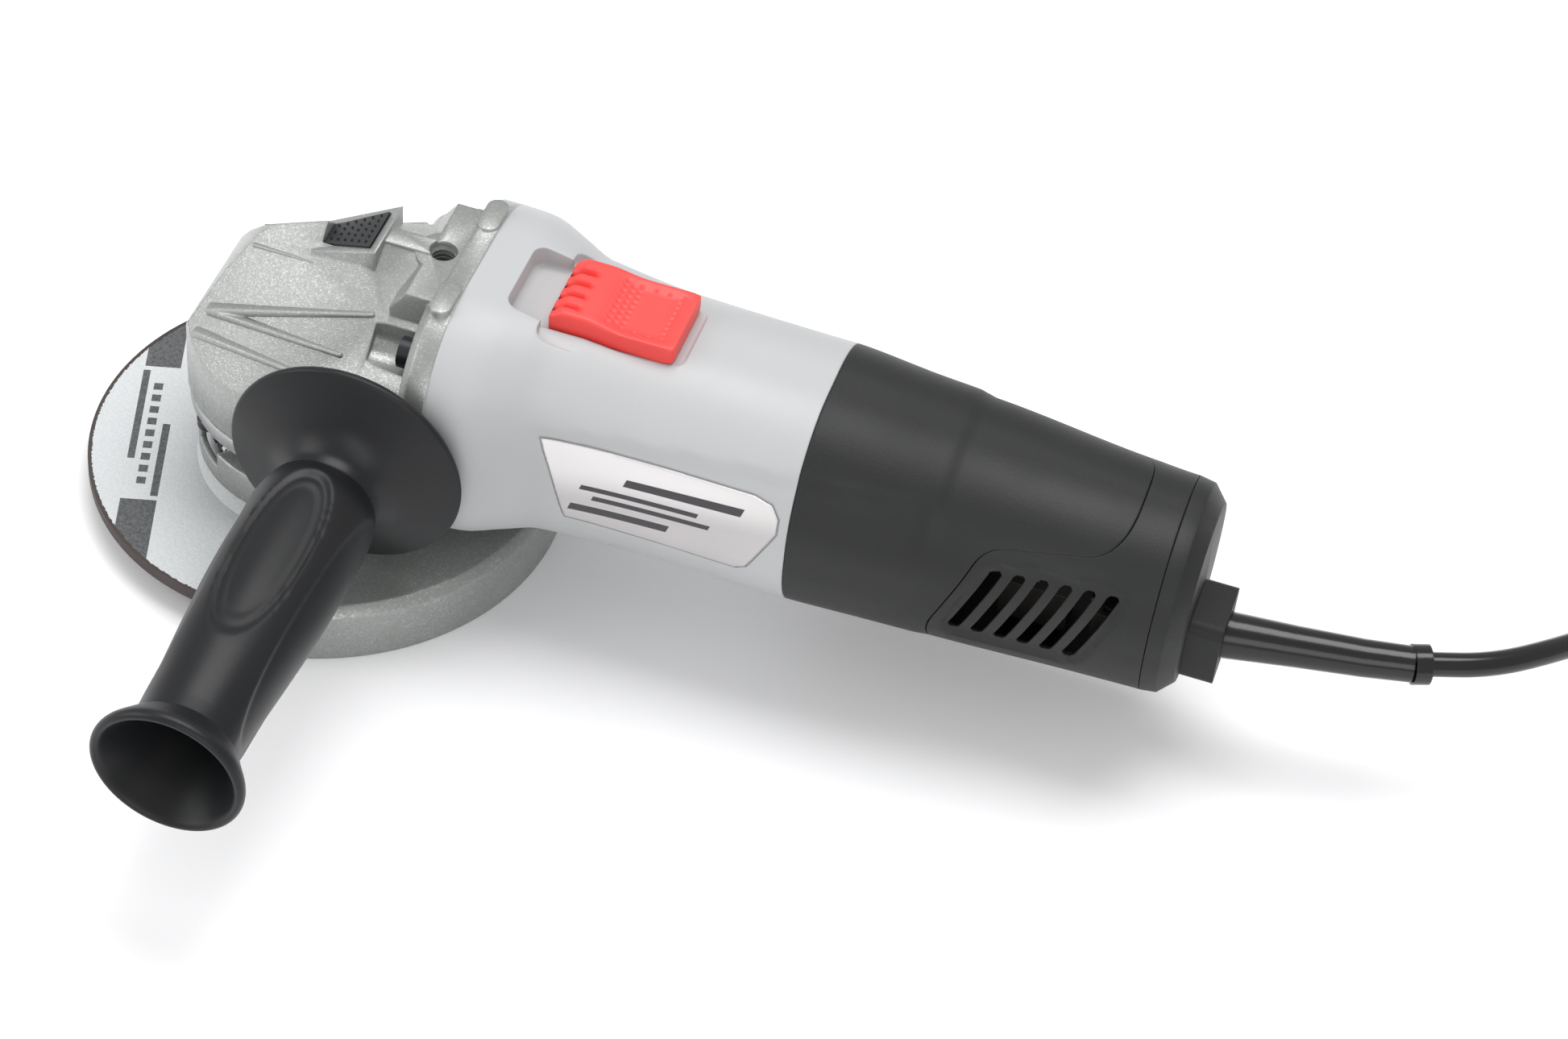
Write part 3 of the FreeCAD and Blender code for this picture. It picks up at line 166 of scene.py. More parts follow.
def maths(tree, operation, *values):
    node = tree.nodes.new("ShaderNodeMath")
    node.operation = operation
    for socket, value in zip(node.inputs, values):
        if isinstance(value, (int, float)):
            socket.default_value = value
        else:
            tree.links.new(value, socket)
    return node.outputs[0]


def noise(tree, vector, scale, detail=2.0, roughness=0.5):
    node = tree.nodes.new("ShaderNodeTexNoise")
    node.inputs["Detail"].default_value = detail
    node.inputs["Roughness"].default_value = roughness
    tree.links.new(vector, node.inputs["Vector"])
    if isinstance(scale, (int, float)):
        node.inputs["Scale"].default_value = scale
    else:
        tree.links.new(scale, node.inputs["Scale"])
    return node.outputs["Fac"]


grain_group, enter, leave = effect("moulded_grain", [("Size mm", 0.3)],
                                   [("Height", "NodeSocketFloat"), ("Patches", "NodeSocketFloat")])
where = grain_group.nodes.new("ShaderNodeTexCoord").outputs["Object"]
per_metre = maths(grain_group, "DIVIDE", 1000.0, enter.outputs["Size mm"])
fine = noise(grain_group, where, per_metre, 3.0, 0.6)
coarse = noise(grain_group, where, maths(grain_group, "MULTIPLY", per_metre, 0.31), 2.0)
both = maths(grain_group, "ADD", maths(grain_group, "MULTIPLY", fine, 0.7),
             maths(grain_group, "MULTIPLY", coarse, 0.3))
grain_group.links.new(both, leave.inputs["Height"])
grain_group.links.new(noise(grain_group, where, 28.0, 3.0, 0.55), leave.inputs["Patches"])

wear_group, enter, leave = effect("worn_edge", [("Radius mm", 0.6), ("Amount", 0.5)],
                                  [("Mask", "NodeSocketFloat"), ("Soft Normal", "NodeSocketVector")])
rounded = wear_group.nodes.new("ShaderNodeBevel")
rounded.samples = 4
edge_radius = maths(wear_group, "MULTIPLY", enter.outputs["Radius mm"], mm)
wear_group.links.new(edge_radius, rounded.inputs["Radius"])
plain = wear_group.nodes.new("ShaderNodeNewGeometry")
turned = wear_group.nodes.new("ShaderNodeVectorMath")
turned.operation = "DOT_PRODUCT"
wear_group.links.new(rounded.outputs["Normal"], turned.inputs[0])
wear_group.links.new(plain.outputs["Normal"], turned.inputs[1])
edge = maths(wear_group, "SUBTRACT", 1.0, turned.outputs["Value"])
where = wear_group.nodes.new("ShaderNodeTexCoord").outputs["Object"]
broken = maths(wear_group, "MULTIPLY", edge, noise(wear_group, where, 420.0, 3.0, 0.7))
mask = maths(wear_group, "MULTIPLY", maths(wear_group, "MULTIPLY", broken, 9.0), enter.outputs["Amount"])
wear_group.links.new(maths(wear_group, "MINIMUM", mask, 1.0), leave.inputs["Mask"])
wear_group.links.new(rounded.outputs["Normal"], leave.inputs["Soft Normal"])

sparkle_group, enter, leave = effect("paint_sparkle", [("Size mm", 0.35)],
                                     [("Flakes", "NodeSocketFloat"), ("Height", "NodeSocketFloat")])
where = sparkle_group.nodes.new("ShaderNodeTexCoord").outputs["Object"]
cells = sparkle_group.nodes.new("ShaderNodeTexVoronoi")
sparkle_group.links.new(where, cells.inputs["Vector"])
per_metre = maths(sparkle_group, "DIVIDE", 1000.0, enter.outputs["Size mm"])
sparkle_group.links.new(per_metre, cells.inputs["Scale"])
channels = sparkle_group.nodes.new("ShaderNodeSeparateColor")
sparkle_group.links.new(cells.outputs["Color"], channels.inputs["Color"])
sparkle_group.links.new(channels.outputs["Red"], leave.inputs["Flakes"])
flake_height = maths(sparkle_group, "MULTIPLY", channels.outputs["Green"], cells.outputs["Distance"])
sparkle_group.links.new(flake_height, leave.inputs["Height"])
print("effects", [g.name for g in bpy.data.node_groups])


# %% [markdown]
# One recipe serves nearly every solid material. Two near colours are mixed by slow
# patches, a third shows where edges are rubbed, the grain lifts the surface, and the
# patches also spread the gloss. Paint adds its sparkle.

# %% The finish recipe
def use(tree, group, **values):
    node = tree.nodes.new("ShaderNodeGroup")
    node.node_tree = group
    for label, value in values.items():
        node.inputs[label.replace("_", " ")].default_value = value
    return node


def blend_colours(tree, amount, first, second):
    node = tree.nodes.new("ShaderNodeMix")
    node.data_type = "RGBA"
    tree.links.new(amount, node.inputs[0])
    for socket, value in ((node.inputs[6], first), (node.inputs[7], second)):
        if isinstance(value, tuple):
            socket.default_value = (*value, 1.0)
        else:
            tree.links.new(value, socket)
    return node.outputs[2]


def spread(tree, value, low, high):
    node = tree.nodes.new("ShaderNodeMapRange")
    node.inputs["From Min"].default_value, node.inputs["From Max"].default_value = 0.3, 0.7
    node.inputs["To Min"].default_value, node.inputs["To Max"].default_value = low, high
    tree.links.new(value, node.inputs["Value"])
    return node.outputs["Result"]


def finish(name, light, dark, worn, gloss, metal=0.0, grain=0.3, depth=0.15, round_mm=0.5, rub=0.35,
           sparkle=0.0, coat=0.0, shine=0.5):
    """A material: two colours, the rubbed colour, (lowest, highest) roughness, and the grain in mm."""
    material, skin = new_material(name)
    tree = material.node_tree
    grains = use(tree, grain_group, Size_mm=grain)
    edges = use(tree, wear_group, Radius_mm=round_mm, Amount=rub)
    patch = spread(tree, grains.outputs["Patches"], 0.0, 1.0)
    colour = blend_colours(tree, patch, light, dark)
    height = grains.outputs["Height"]
    rough = spread(tree, grains.outputs["Patches"], *gloss)
    if sparkle:
        flakes = use(tree, sparkle_group, Size_mm=grain * 1.2)
        lift = maths(tree, "MULTIPLY", maths(tree, "POWER", flakes.outputs["Flakes"], 5.0), sparkle)
        colour = blend_colours(tree, lift, colour, tuple(min(1.0, c * 1.9) for c in light))
        rough = maths(tree, "SUBTRACT", rough, maths(tree, "MULTIPLY", flakes.outputs["Flakes"], 0.12))
        height = maths(tree, "ADD", height, flakes.outputs["Height"])
    colour = blend_colours(tree, edges.outputs["Mask"], colour, worn)
    tree.links.new(colour, skin.inputs["Base Color"])
    tree.links.new(rough, skin.inputs["Roughness"])
    skin.inputs["Metallic"].default_value = metal
    skin.inputs["Coat Weight"].default_value = coat
    skin.inputs["Specular IOR Level"].default_value = shine
    bump = tree.nodes.new("ShaderNodeBump")
    bump.inputs["Strength"].default_value = depth
    bump.inputs["Distance"].default_value = 0.0002
    tree.links.new(height, bump.inputs["Height"])
    tree.links.new(edges.outputs["Soft Normal"], bump.inputs["Normal"])
    tree.links.new(bump.outputs["Normal"], skin.inputs["Normal"])
    return material


# Each row holds the two colours, the rubbed colour, the (lowest, highest) roughness, and what
# differs from the recipe's usual values.
recipes = {
    "silver_casting": ((0.335, 0.345, 0.335), (0.285, 0.295, 0.285), (0.62, 0.63, 0.62), (0.34, 0.44),
        dict(metal=0.55, grain=0.30, depth=0.25, sparkle=0.34, round_mm=0.8)),
    "dark_casting": ((0.10, 0.10, 0.105), (0.07, 0.07, 0.075), (0.3, 0.3, 0.3), (0.4, 0.55),
        dict(metal=0.6, grain=0.4, depth=0.3)),
    "steel": ((0.55, 0.55, 0.56), (0.47, 0.47, 0.48), (0.75, 0.75, 0.76), (0.22, 0.36),
        dict(metal=1.0, grain=0.15, depth=0.06, round_mm=0.25)),
    "black_steel": ((0.05, 0.05, 0.055), (0.03, 0.03, 0.035), (0.3, 0.3, 0.31), (0.3, 0.45),
        dict(metal=0.8, grain=0.2, depth=0.1, round_mm=0.25)),
    "grey_plastic": ((0.430, 0.440, 0.447), (0.412, 0.421, 0.428), (0.49, 0.50, 0.51), (0.42, 0.5),
        dict(grain=0.28, depth=0.1, rub=0.15)),
    "black_plastic": ((0.0120, 0.0125, 0.013), (0.0090, 0.0095, 0.010), (0.035, 0.035, 0.037), (0.44, 0.54),
        dict(grain=0.35, depth=0.4, rub=0.25, shine=0.36)),
    "grip_plastic": ((0.0085, 0.009, 0.0105), (0.0065, 0.007, 0.008), (0.03, 0.03, 0.033), (0.34, 0.46),
        dict(grain=0.3, depth=0.16, rub=0.25, shine=0.32)),
    "red_plastic": ((0.80, 0.060, 0.052), (0.76, 0.052, 0.046), (0.86, 0.13, 0.11), (0.38, 0.46),
        dict(grain=0.25, depth=0.12, rub=0.25)),
    "button_plastic": ((0.030, 0.031, 0.034), (0.024, 0.025, 0.028), (0.07, 0.07, 0.075), (0.42, 0.52),
        dict(grain=0.3, depth=0.2, shine=0.4)),
    "label_foil": ((0.62, 0.58, 0.58), (0.75, 0.73, 0.73), (0.8, 0.8, 0.8), (0.25, 0.35),
        dict(metal=0.7, grain=0.2, depth=0.03, rub=0.1)),
    "abrasive": ((0.050, 0.038, 0.034), (0.028, 0.02, 0.018), (0.13, 0.09, 0.08), (0.75, 0.9),
        dict(grain=0.6, depth=1.0, round_mm=0.3, rub=0.8)),
    "copper": ((0.72, 0.32, 0.15), (0.55, 0.22, 0.1), (0.85, 0.5, 0.3), (0.25, 0.4),
        dict(metal=0.9, grain=0.5, depth=0.5)),
    "lamination": ((0.28, 0.28, 0.3), (0.2, 0.2, 0.21), (0.5, 0.5, 0.5), (0.35, 0.5),
        dict(metal=0.9, grain=0.4, depth=0.2)),
    "carbon": ((0.02, 0.02, 0.021), (0.014, 0.014, 0.015), (0.08, 0.08, 0.08), (0.5, 0.65),
        dict(grain=0.3)),
    "brass": ((0.75, 0.55, 0.22), (0.62, 0.43, 0.16), (0.9, 0.75, 0.4), (0.2, 0.35),
        dict(metal=1.0, grain=0.3, depth=0.06)),
    # painted shade: the natural plastic seen through the vent slots is coloured dark, so the inside of the
    # slots reads as shade
    "natural_plastic": ((0.060, 0.057, 0.05), (0.05, 0.047, 0.042), (0.12, 0.115, 0.1), (0.4, 0.5),
        dict(grain=0.4, depth=0.1)),
    "cord_rubber": ((0.008, 0.008, 0.009), (0.006, 0.006, 0.0065), (0.02, 0.02, 0.02), (0.14, 0.22),
        dict(grain=0.5, depth=0.08, coat=0.15, shine=0.4)),
    "seal_rubber": ((0.007, 0.007, 0.0075), (0.005, 0.005, 0.0055), (0.02, 0.02, 0.02), (0.08, 0.14),
        dict(grain=0.5, depth=0.08, coat=0.25, shine=0.4)),
    "tie_plastic": ((0.025, 0.025, 0.027), (0.018, 0.018, 0.02), (0.07, 0.07, 0.07), (0.35, 0.45),
        dict(grain=0.3, depth=0.1)),
}
finishes = {name: finish(name, *looks, **extra) for name, (*looks, extra) in recipes.items()}
print("finishes", len(finishes))

# %% [markdown]
# The engineering parts keep their meshes. Each takes the finish that its record names.

# %% Dress the engineering parts
def paint(piece, material):
    """Gives a piece one material in place of any that it had."""
    piece.data.materials.clear()
    piece.data.materials.append(material)


node_slots = {piece["node"]: piece["material_slot"] for piece in frame["record"]["subparts"]}
for node_name, part in frame["nodes"].items():
    paint(part, finishes[node_slots[node_name]])
print("dressed", len(node_slots), "parts")

# %% [markdown]
# ## The mains lead
# The lead is one soft line. It leaves the tapered bend sleeve, sinks to the bench, and
# the length nobody needs is wound in a flat coil of two layers with a tie, its plug
# beside it. A NURBS line of order three rounds its own control points, as a cable does.

# %% Lay the lead
cord_r, layer, column = 3.0 * mm, 6.12, 6.12
coil_x, coil_y, coil_out_r, low_layer = 377.0, 104.0, 48.9, -45.6
first_bearing, last_turn = 184.0, 2981.0
moves_in = [134.0 + 360.0 * n for n in range(4)]
moves_out = [1644.0 + 360.0 * n for n in range(4)]
move_width, climb_start, climb_width = 180.0, 1464.0, 110.0
coil_steps = 132


def eased(swept, start, width):
    """Rises from 0 to 1 while the coil sweeps width degrees from start."""
    share = min(1.0, max(0.0, (swept - start) / width))
    return (1.0 - math.cos(math.pi * share)) / 2


def coil_point(swept):
    """A point of the coil after so many degrees: in through the lower layer, out through the upper one."""
    radius = coil_out_r - column * sum(eased(swept, start, move_width) for start in moves_in)
    radius += column * sum(eased(swept, start, move_width) for start in moves_out)
    bearing = math.radians(first_bearing - swept)
    height = low_layer + layer * eased(swept, climb_start, climb_width)
    return at(coil_x + radius * math.cos(bearing), coil_y + radius * math.sin(bearing), height)


lead_points = [at(272.0, 6.85, -12.52), at(277.8, 8.8, -12.63), at(292.6, 15.0, -13.2),
               at(307.0, 29.0, -15.6), at(318.5, 46.0, -21.5), at(325.0, 63.0, -31.0),
               at(328.2, 79.0, -40.0), at(328.2, 91.0, -44.8)]
coil_points = [coil_point(last_turn * i / coil_steps) for i in range(coil_steps + 1)]
tail_points = [at(394.0, 151.2, -39.8), at(405.0, 147.8, -40.3), at(415.5, 141.7, -39.3),
               at(428.0, 131.0, -36.5)]
cord_line = bpy.data.curves.new("mains_lead", "CURVE")
cord_line.dimensions = "3D"
cord_line.bevel_depth, cord_line.bevel_resolution = 1.0, 6
cord_line.resolution_u, cord_line.use_fill_caps = 8, True
spline = cord_line.splines.new("NURBS")
route = lead_points + coil_points + tail_points
spline.points.add(len(route) - 1)
for knot, spot in zip(spline.points, route):
    knot.co = (*spot, 1.0)
    knot.radius = cord_r        # the depth of one metre times this radius
spline.order_u = 3
spline.use_endpoint_u = True
lead = new_object("mains_lead", cord_line)
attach(lead, "housing")
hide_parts("cord_tube", "cord_coil")

# %% [markdown]
# ## Rounding the engineered shells
# A moulded or cast shell never has a knife edge: the mould's cutter leaves a small radius.
# The shells could be drawn again by hand, but their places must stay exact, so a merged
# copy of each one is taken and a Bevel modifier rolls its edges. The copy stands for it.

# %% Rounded copies
bodies = frame["record"]["behaviour"]["bodies"]
body_names = {node: body for body, members in bodies.items() for node in members}
smooth_angle = 34.0                # degrees; a sharper edge than this is shaded as an edge
weld = 2e-6                        # metres; corners nearer than this are one corner


def open_all(piece):
    """Opens a piece for editing with all of it selected."""
    choose(piece)
    bpy.ops.object.mode_set(mode="EDIT")
    bpy.ops.mesh.select_all(action="SELECT")


def close_outwards():
    """Turns every face of the open piece outwards, and leaves edit mode."""
    bpy.ops.mesh.select_all(action="SELECT")
    bpy.ops.mesh.normals_make_consistent(inside=False)
    bpy.ops.object.mode_set(mode="OBJECT")


def merged(piece):
    """Joins the corners of a piece that lie in one place, and drops the slivers between them."""
    open_all(piece)
    bpy.ops.mesh.remove_doubles(threshold=weld)
    bpy.ops.mesh.dissolve_degenerate(threshold=weld)
    bpy.ops.object.mode_set(mode="OBJECT")


def settle(piece, slot, body, material=None):
    """Gives a finished piece its material, its smooth shading and the body that it rides on."""
    choose(piece)
    bpy.ops.object.shade_smooth_by_angle(angle=math.radians(smooth_angle))
    paint(piece, material or finishes[slot])
    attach(piece, body)
    print(piece.name, "faces", len(piece.data.polygons))


def apply_modifier(piece, kind, **settings):
    """Adds one modifier with its settings and applies it."""
    modifier = piece.modifiers.new(kind.lower(), kind)
    for label, value in settings.items():
        setattr(modifier, label, value)
    choose(piece)
    bpy.ops.object.modifier_apply(modifier=modifier.name)


def soften(piece, width, angle, **settings):
    """Rolls every edge that is sharper than angle degrees, width mm wide."""
    apply_modifier(piece, "BEVEL", width=width * mm, segments=2, limit_method="ANGLE",
                   angle_limit=math.radians(angle), **settings)


def rounded_copy(node, width, slot=None):
    """A merged copy of an engineering part with rolled edges, which stands for it."""
    piece = new_object(node + "_skin", frame["nodes"][node].data.copy())
    choose(piece)
    bpy.ops.mesh.customdata_custom_splitnormals_clear()
    open_all(piece)
    bpy.ops.mesh.remove_doubles(threshold=weld)
    bpy.ops.mesh.dissolve_limited(angle_limit=math.radians(0.6))
    bpy.ops.object.mode_set(mode="OBJECT")
    soften(piece, width, smooth_angle, miter_outer="MITER_ARC", loop_slide=False)
    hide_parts(node)
    settle(piece, slot or node_slots[node], body_names[node])


rounded_copy("bearing_cover", 0.4, "silver_casting")
for node, width in (("gear_case", 0.55), ("end_cap", 0.5), ("guard_shell", 0.5), ("guard_clamp_band", 0.3),
                    ("lock_nut", 0.4), ("inner_flange", 0.4), ("lock_button", 0.5), ("plug_body", 0.6)):
    rounded_copy(node, width)

# %% [markdown]
# ## Side handle
# The handle is one moulding with a wide trumpet flange that keeps the hand off the disc.
# It is drawn as a lathe would turn it: a ring is extruded from station to station. The
# long thumb panels are then pressed in, which a displacement with a painted weight does.

# %% Turn the handle
def smooth_profile(stations, steps):
    """A soft line (Catmull-Rom) through (along, radius) stations."""
    points = [stations[0]] + list(stations) + [stations[-1]]
    line = []
    for a, b, c, d in zip(points, points[1:], points[2:], points[3:]):
        for i in range(steps):
            t = i / steps
            line.append(tuple(0.5 * (2 * q + (r - p) * t + (2 * p - 5 * q + 4 * r - s) * t * t
                                     + (3 * q - p - 3 * r + s) * t ** 3) for p, q, r, s in zip(a, b, c, d)))
    return line + [stations[-1]]


def turned(name, stations, sides, spot, axis, lean):
    """Extrudes a ring along an axis from station to station, and closes both ends."""
    choose()
    bpy.ops.mesh.primitive_circle_add(vertices=sides, radius=stations[0][1] * mm, rotation=lean,
                                      location=spot + axis * stations[0][0] * mm)
    piece = bpy.context.object
    piece.name = name
    bpy.ops.object.transform_apply(location=True, rotation=True, scale=True)
    open_all(piece)
    for (along, radius), (further, wider) in zip(stations, stations[1:]):
        bpy.ops.mesh.extrude_region_move(TRANSFORM_OT_translate={"value": axis * (further - along) * mm})
        grow = wider / radius
        bpy.ops.transform.resize(value=(grow, grow, grow), center_override=spot + axis * further * mm)
    bpy.ops.mesh.select_all(action="SELECT")
    bpy.ops.mesh.remove_doubles(threshold=1e-6)
    bpy.ops.mesh.fill_holes(sides=0)
    close_outwards()
    return piece


def press(piece, depth, weight, direction="NORMAL", keep_x=False):
    """Moves the surface by depth mm where weight(place in mm) says, along its normal or an axis.

    keep_x holds each corner at its place along the body, so that an end stays flat.
    """
    stations = [corner.co.x for corner in piece.data.vertices]
    group = piece.vertex_groups.new(name="press")
    for corner in piece.data.vertices:
        amount = weight(corner.co / mm)
        if amount > 0:
            group.add([corner.index], min(1.0, amount), "REPLACE")
    apply_modifier(piece, "DISPLACE", strength=depth * mm, mid_level=0.0, direction=direction,
                   vertex_group="press")
    piece.vertex_groups.clear()
    if keep_x:
        for corner, x in zip(piece.data.vertices, stations):
            corner.co.x = x


def soft_step(value, low, high):
    """Rises softly from 0 at low to 1 at high."""
    share = min(1.0, max(0.0, (value - low) / (high - low)))
    return share * share * (3 - 2 * share)


handle_x, handle_y, handle_h = 24.1, -39.2, 4.5
core_r = 11.0                      # nothing inside this radius is pressed, which spares the hollow end
trumpet = [(0.4, 20.0), (0.7, 26.6), (1.9, 28.5), (3.4, 28.8), (4.4, 27.2), (7.0, 21.5), (9.6, 16.2),
           (12.8, 12.9), (15.4, 11.9), (16.6, 11.9)]
grip = [(17.1, 12.9), (18.3, 13.7), (24.8, 15.0), (38.0, 15.6), (52.8, 15.4), (68.0, 14.5),
        (82.8, 13.4), (93.0, 12.7)]
flare = [(96.6, 12.7), (97.6, 13.9), (100.4, 15.9), (103.4, 17.9), (105.2, 18.2), (106.2, 17.4),
         (105.9, 16.3), (103.6, 14.9), (98.0, 12.0), (91.0, 9.0), (84.0, 6.6), (82.8, 3.0), (82.8, 0.6)]
outline = smooth_profile(trumpet, 5) + smooth_profile(grip, 14) + smooth_profile(flare, 5)
grip_piece = turned("side_handle_grip", outline, 168, at(handle_x, handle_y, handle_h), Vector((0, -1, 0)),
                    (math.pi / 2, 0.0, 0.0))


def panel(middle, half_angle, start, end):
    """Weight of one pressed panel: an oval on the grip, round its axis and along it."""
    centre, half = (start + end) / 2, (end - start) / 2

    def weight(place):
        along, dx, dz = handle_y - place.y, place.x - handle_x, place.z - axis_z - handle_h
        if math.hypot(dx, dz) < core_r:
            return 0.0
        turn = (math.degrees(math.atan2(dx, dz)) - middle + 180.0) % 360.0 - 180.0
        reach = (abs(turn) / half_angle) ** 2.4 + (abs(along - centre) / half) ** 2.4
        return 1.0 - soft_step(reach, 0.82, 1.06)
    return weight


# middle and half width in degrees round the grip, start and end along it, depth
panels = [(0.0, 34.0, 21.0, 74.0, -1.1), (180.0, 34.0, 21.0, 74.0, -1.1), (90.0, 41.0, 19.5, 95.0, -0.55),
          (270.0, 41.0, 19.5, 95.0, -0.55), (0.0, 25.0, 25.0, 69.0, -0.35)]
for middle, half_angle, start, end, depth in panels:
    press(grip_piece, depth, panel(middle, half_angle, start, end))
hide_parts("handle_grip")
settle(grip_piece, "grip_plastic", "housing")

# %% [markdown]
# ## Motor housing
# The grey housing is one moulded barrel, waisted behind the head and nearly round where
# the motor sits. No primitive bends like that, so it is lofted: a rounded rectangle is
# read at many stations from a few sections. The bore, the slider's pocket, the thumb
# scoop and the plates' beds are then cut by Boolean, as a mould's cores would leave them.

# %% Loft the barrel
# A section is x, half width, top, bottom and corner radius.
grey_sections = [(41.0, 38.5, 39.0, -28.0, 26.5), (50.0, 37.6, 38.6, -27.7, 26.0),
                 (58.0, 33.6, 37.2, -27.0, 24.5), (66.0, 30.4, 35.8, -26.6, 24.5),
                 (87.0, 29.3, 34.0, -26.5, 25.0), (128.7, 30.0, 32.3, -26.7, 25.5)]
crease_depth, flank_y = -0.95, 12.0      # the line shows only further out than flank_y


def sections_between(sections, step):
    """Sections every step mm, each value on a soft line through the given ones."""
    ends = [sections[0]] + sections + [sections[-1]]
    line = []
    for a, b, c, d in zip(ends, ends[1:], ends[2:], ends[3:]):
        count = max(1, round((c[0] - b[0]) / step))
        before, after = max(b[0] - a[0], c[0] - b[0]), max(d[0] - c[0], c[0] - b[0])
        for i in range(count):
            t = i / count
            row = []
            for q, r, p, s in zip(b, c, a, d):
                leave, arrive = (r - p) / (before + c[0] - b[0]), (s - q) / (after + c[0] - b[0])
                span = c[0] - b[0]
                row.append((2 * t ** 3 - 3 * t * t + 1) * q + (t ** 3 - 2 * t * t + t) * span * leave
                           + (3 * t * t - 2 * t ** 3) * r + (t ** 3 - t * t) * span * arrive)
            row[0] = b[0] + span * t
            line.append(row)
    return line + [list(sections[-1])]


def section_ring(x, half, top, bottom, corner, arc_steps=22, side_steps=8):
    """The rounded rectangle at x, as (x, y, h) places, anticlockwise from the lower right."""
    side, high, low = half - corner, top - corner, bottom + corner

    def flat_run(start, end):
        return [tuple(p + (q - p) * k / side_steps for p, q in zip(start, end)) for k in range(1, side_steps)]

    ring = []
    for quarter, (y, h) in enumerate(((side, high), (-side, high), (-side, low), (side, low))):
        arc = []
        for i in range(arc_steps + 1):
            turn = math.pi / 2 * (quarter + i / arc_steps)
            arc.append((y + corner * math.cos(turn), h + corner * math.sin(turn)))
        if ring:
            ring += flat_run(ring[-1], arc[0])
        ring += arc
    ring += flat_run(ring[-1], ring[0])
    return [at(x, y, h) for y, h in ring]


def lofted(name, sections, step):
    """A closed body through the sections, read every step mm."""
    rings = [section_ring(*section) for section in sections_between(sections, step)]
    count = len(rings[0])
    faces = [tuple(range(count))[::-1], tuple(range(count * (len(rings) - 1), count * len(rings)))]
    for row in range(len(rings) - 1):
        for i in range(count):
            a, b = row * count + i, row * count + (i + 1) % count
            faces.append((a, b, b + count, a + count))
    mesh = bpy.data.meshes.new(name)
    mesh.from_pydata([tuple(place) for ring in rings for place in ring], [], faces)
    piece = new_object(name, mesh)
    open_all(piece)
    close_outwards()
    return piece


def cut(piece, cutter):
    apply_modifier(piece, "BOOLEAN", operation="DIFFERENCE", object=cutter, solver="EXACT")
    bpy.data.objects.remove(cutter)


def under_line(place, line):
    """Weight under a styling line on a flank: the wall steps in just under it and comes out slowly."""
    if abs(place.y) < flank_y:
        return 0.0
    below = line - (place.z - axis_z)
    return soft_step(below, 0.0, 1.3) * (1 - soft_step(below, 6.0, 20.0))


def crease(place):
    """The styling line along the grey barrel, which starts behind the head."""
    return under_line(place, 19.0 + 0.062 * (place.x - 66.0)) * soft_step(place.x, 60.0, 72.0)


barrel = lofted("grey_barrel", grey_sections, 0.9)
press(barrel, crease_depth, crease, keep_x=True)
print("barrel faces", len(barrel.data.polygons))

# %% [markdown]
# The barrel is hollow, the slider runs in a pocket on its top between two thumb scoops, and
# a foil plate lies in a shallow bed on each flank. Each of these is the shape of one cutter,
# taken away by a Boolean. The plate itself is a fine grid, trimmed and laid on the curve by
# a Shrinkwrap, and one that is a little larger and much thicker cuts its bed.

# %% Cut the barrel
def inset(sections, wall):
    """The sections of the inner face, wall mm inside the outer ones."""
    return [(x, half - wall, top - wall, bottom + wall, corner - wall)
            for x, half, top, bottom, corner in sections]


def reaching(sections, x0, x1):
    """The same sections from x0 to x1, so that a cutter comes out at both ends."""
    return [(x0, *sections[0][1:])] + sections[1:-1] + [(x1, *sections[-1][1:])]


def rounded_block(x0, x1, half, h0, h1, corner, roll, turn=0.0, centre=0.0):
    """A block for cutting: corner rounds the outline, roll the lower edges."""
    choose()
    bpy.ops.mesh.primitive_cube_add(size=1.0, location=at((x0 + x1) / 2, centre, (h0 + h1) / 2),
                                    scale=((x1 - x0) * mm, 2 * half * mm, (h1 - h0) * mm),
                                    rotation=(turn, 0.0, 0.0))
    block = bpy.context.object
    bpy.ops.object.transform_apply(location=True, rotation=True, scale=True)
    bpy.ops.object.mode_set(mode="EDIT")
    bpy.ops.mesh.select_mode(type="EDGE")
    bpy.ops.mesh.select_all(action="DESELECT")
    mesh = bmesh.from_edit_mesh(block.data)
    for edge in mesh.edges:
        run = (edge.verts[0].co - edge.verts[1].co).normalized()
        edge.select_set(abs(run.x) < 0.1 and abs(run.z) > 0.6)
    bmesh.update_edit_mesh(block.data)
    bpy.ops.mesh.bevel(offset=corner * mm, segments=8)
    bpy.ops.mesh.select_all(action="DESELECT")
    mesh = bmesh.from_edit_mesh(block.data)
    lowest = min(place.co.z for place in mesh.verts)
    for edge in mesh.edges:
        on_floor = turn == 0.0 and all(place.co.z < lowest + 1e-5 for place in edge.verts)
        edge.select_set(on_floor and len(edge.link_faces) == 2 and edge.calc_face_angle() > 0.5)
    bmesh.update_edit_mesh(block.data)
    if turn == 0.0:
        bpy.ops.mesh.bevel(offset=roll * mm, segments=4)
    bpy.ops.object.mode_set(mode="OBJECT")
    return block


plate_x, plate_h, outside = 97.0, 5.5, 60.0      # the plate's middle, and a reach past any flank


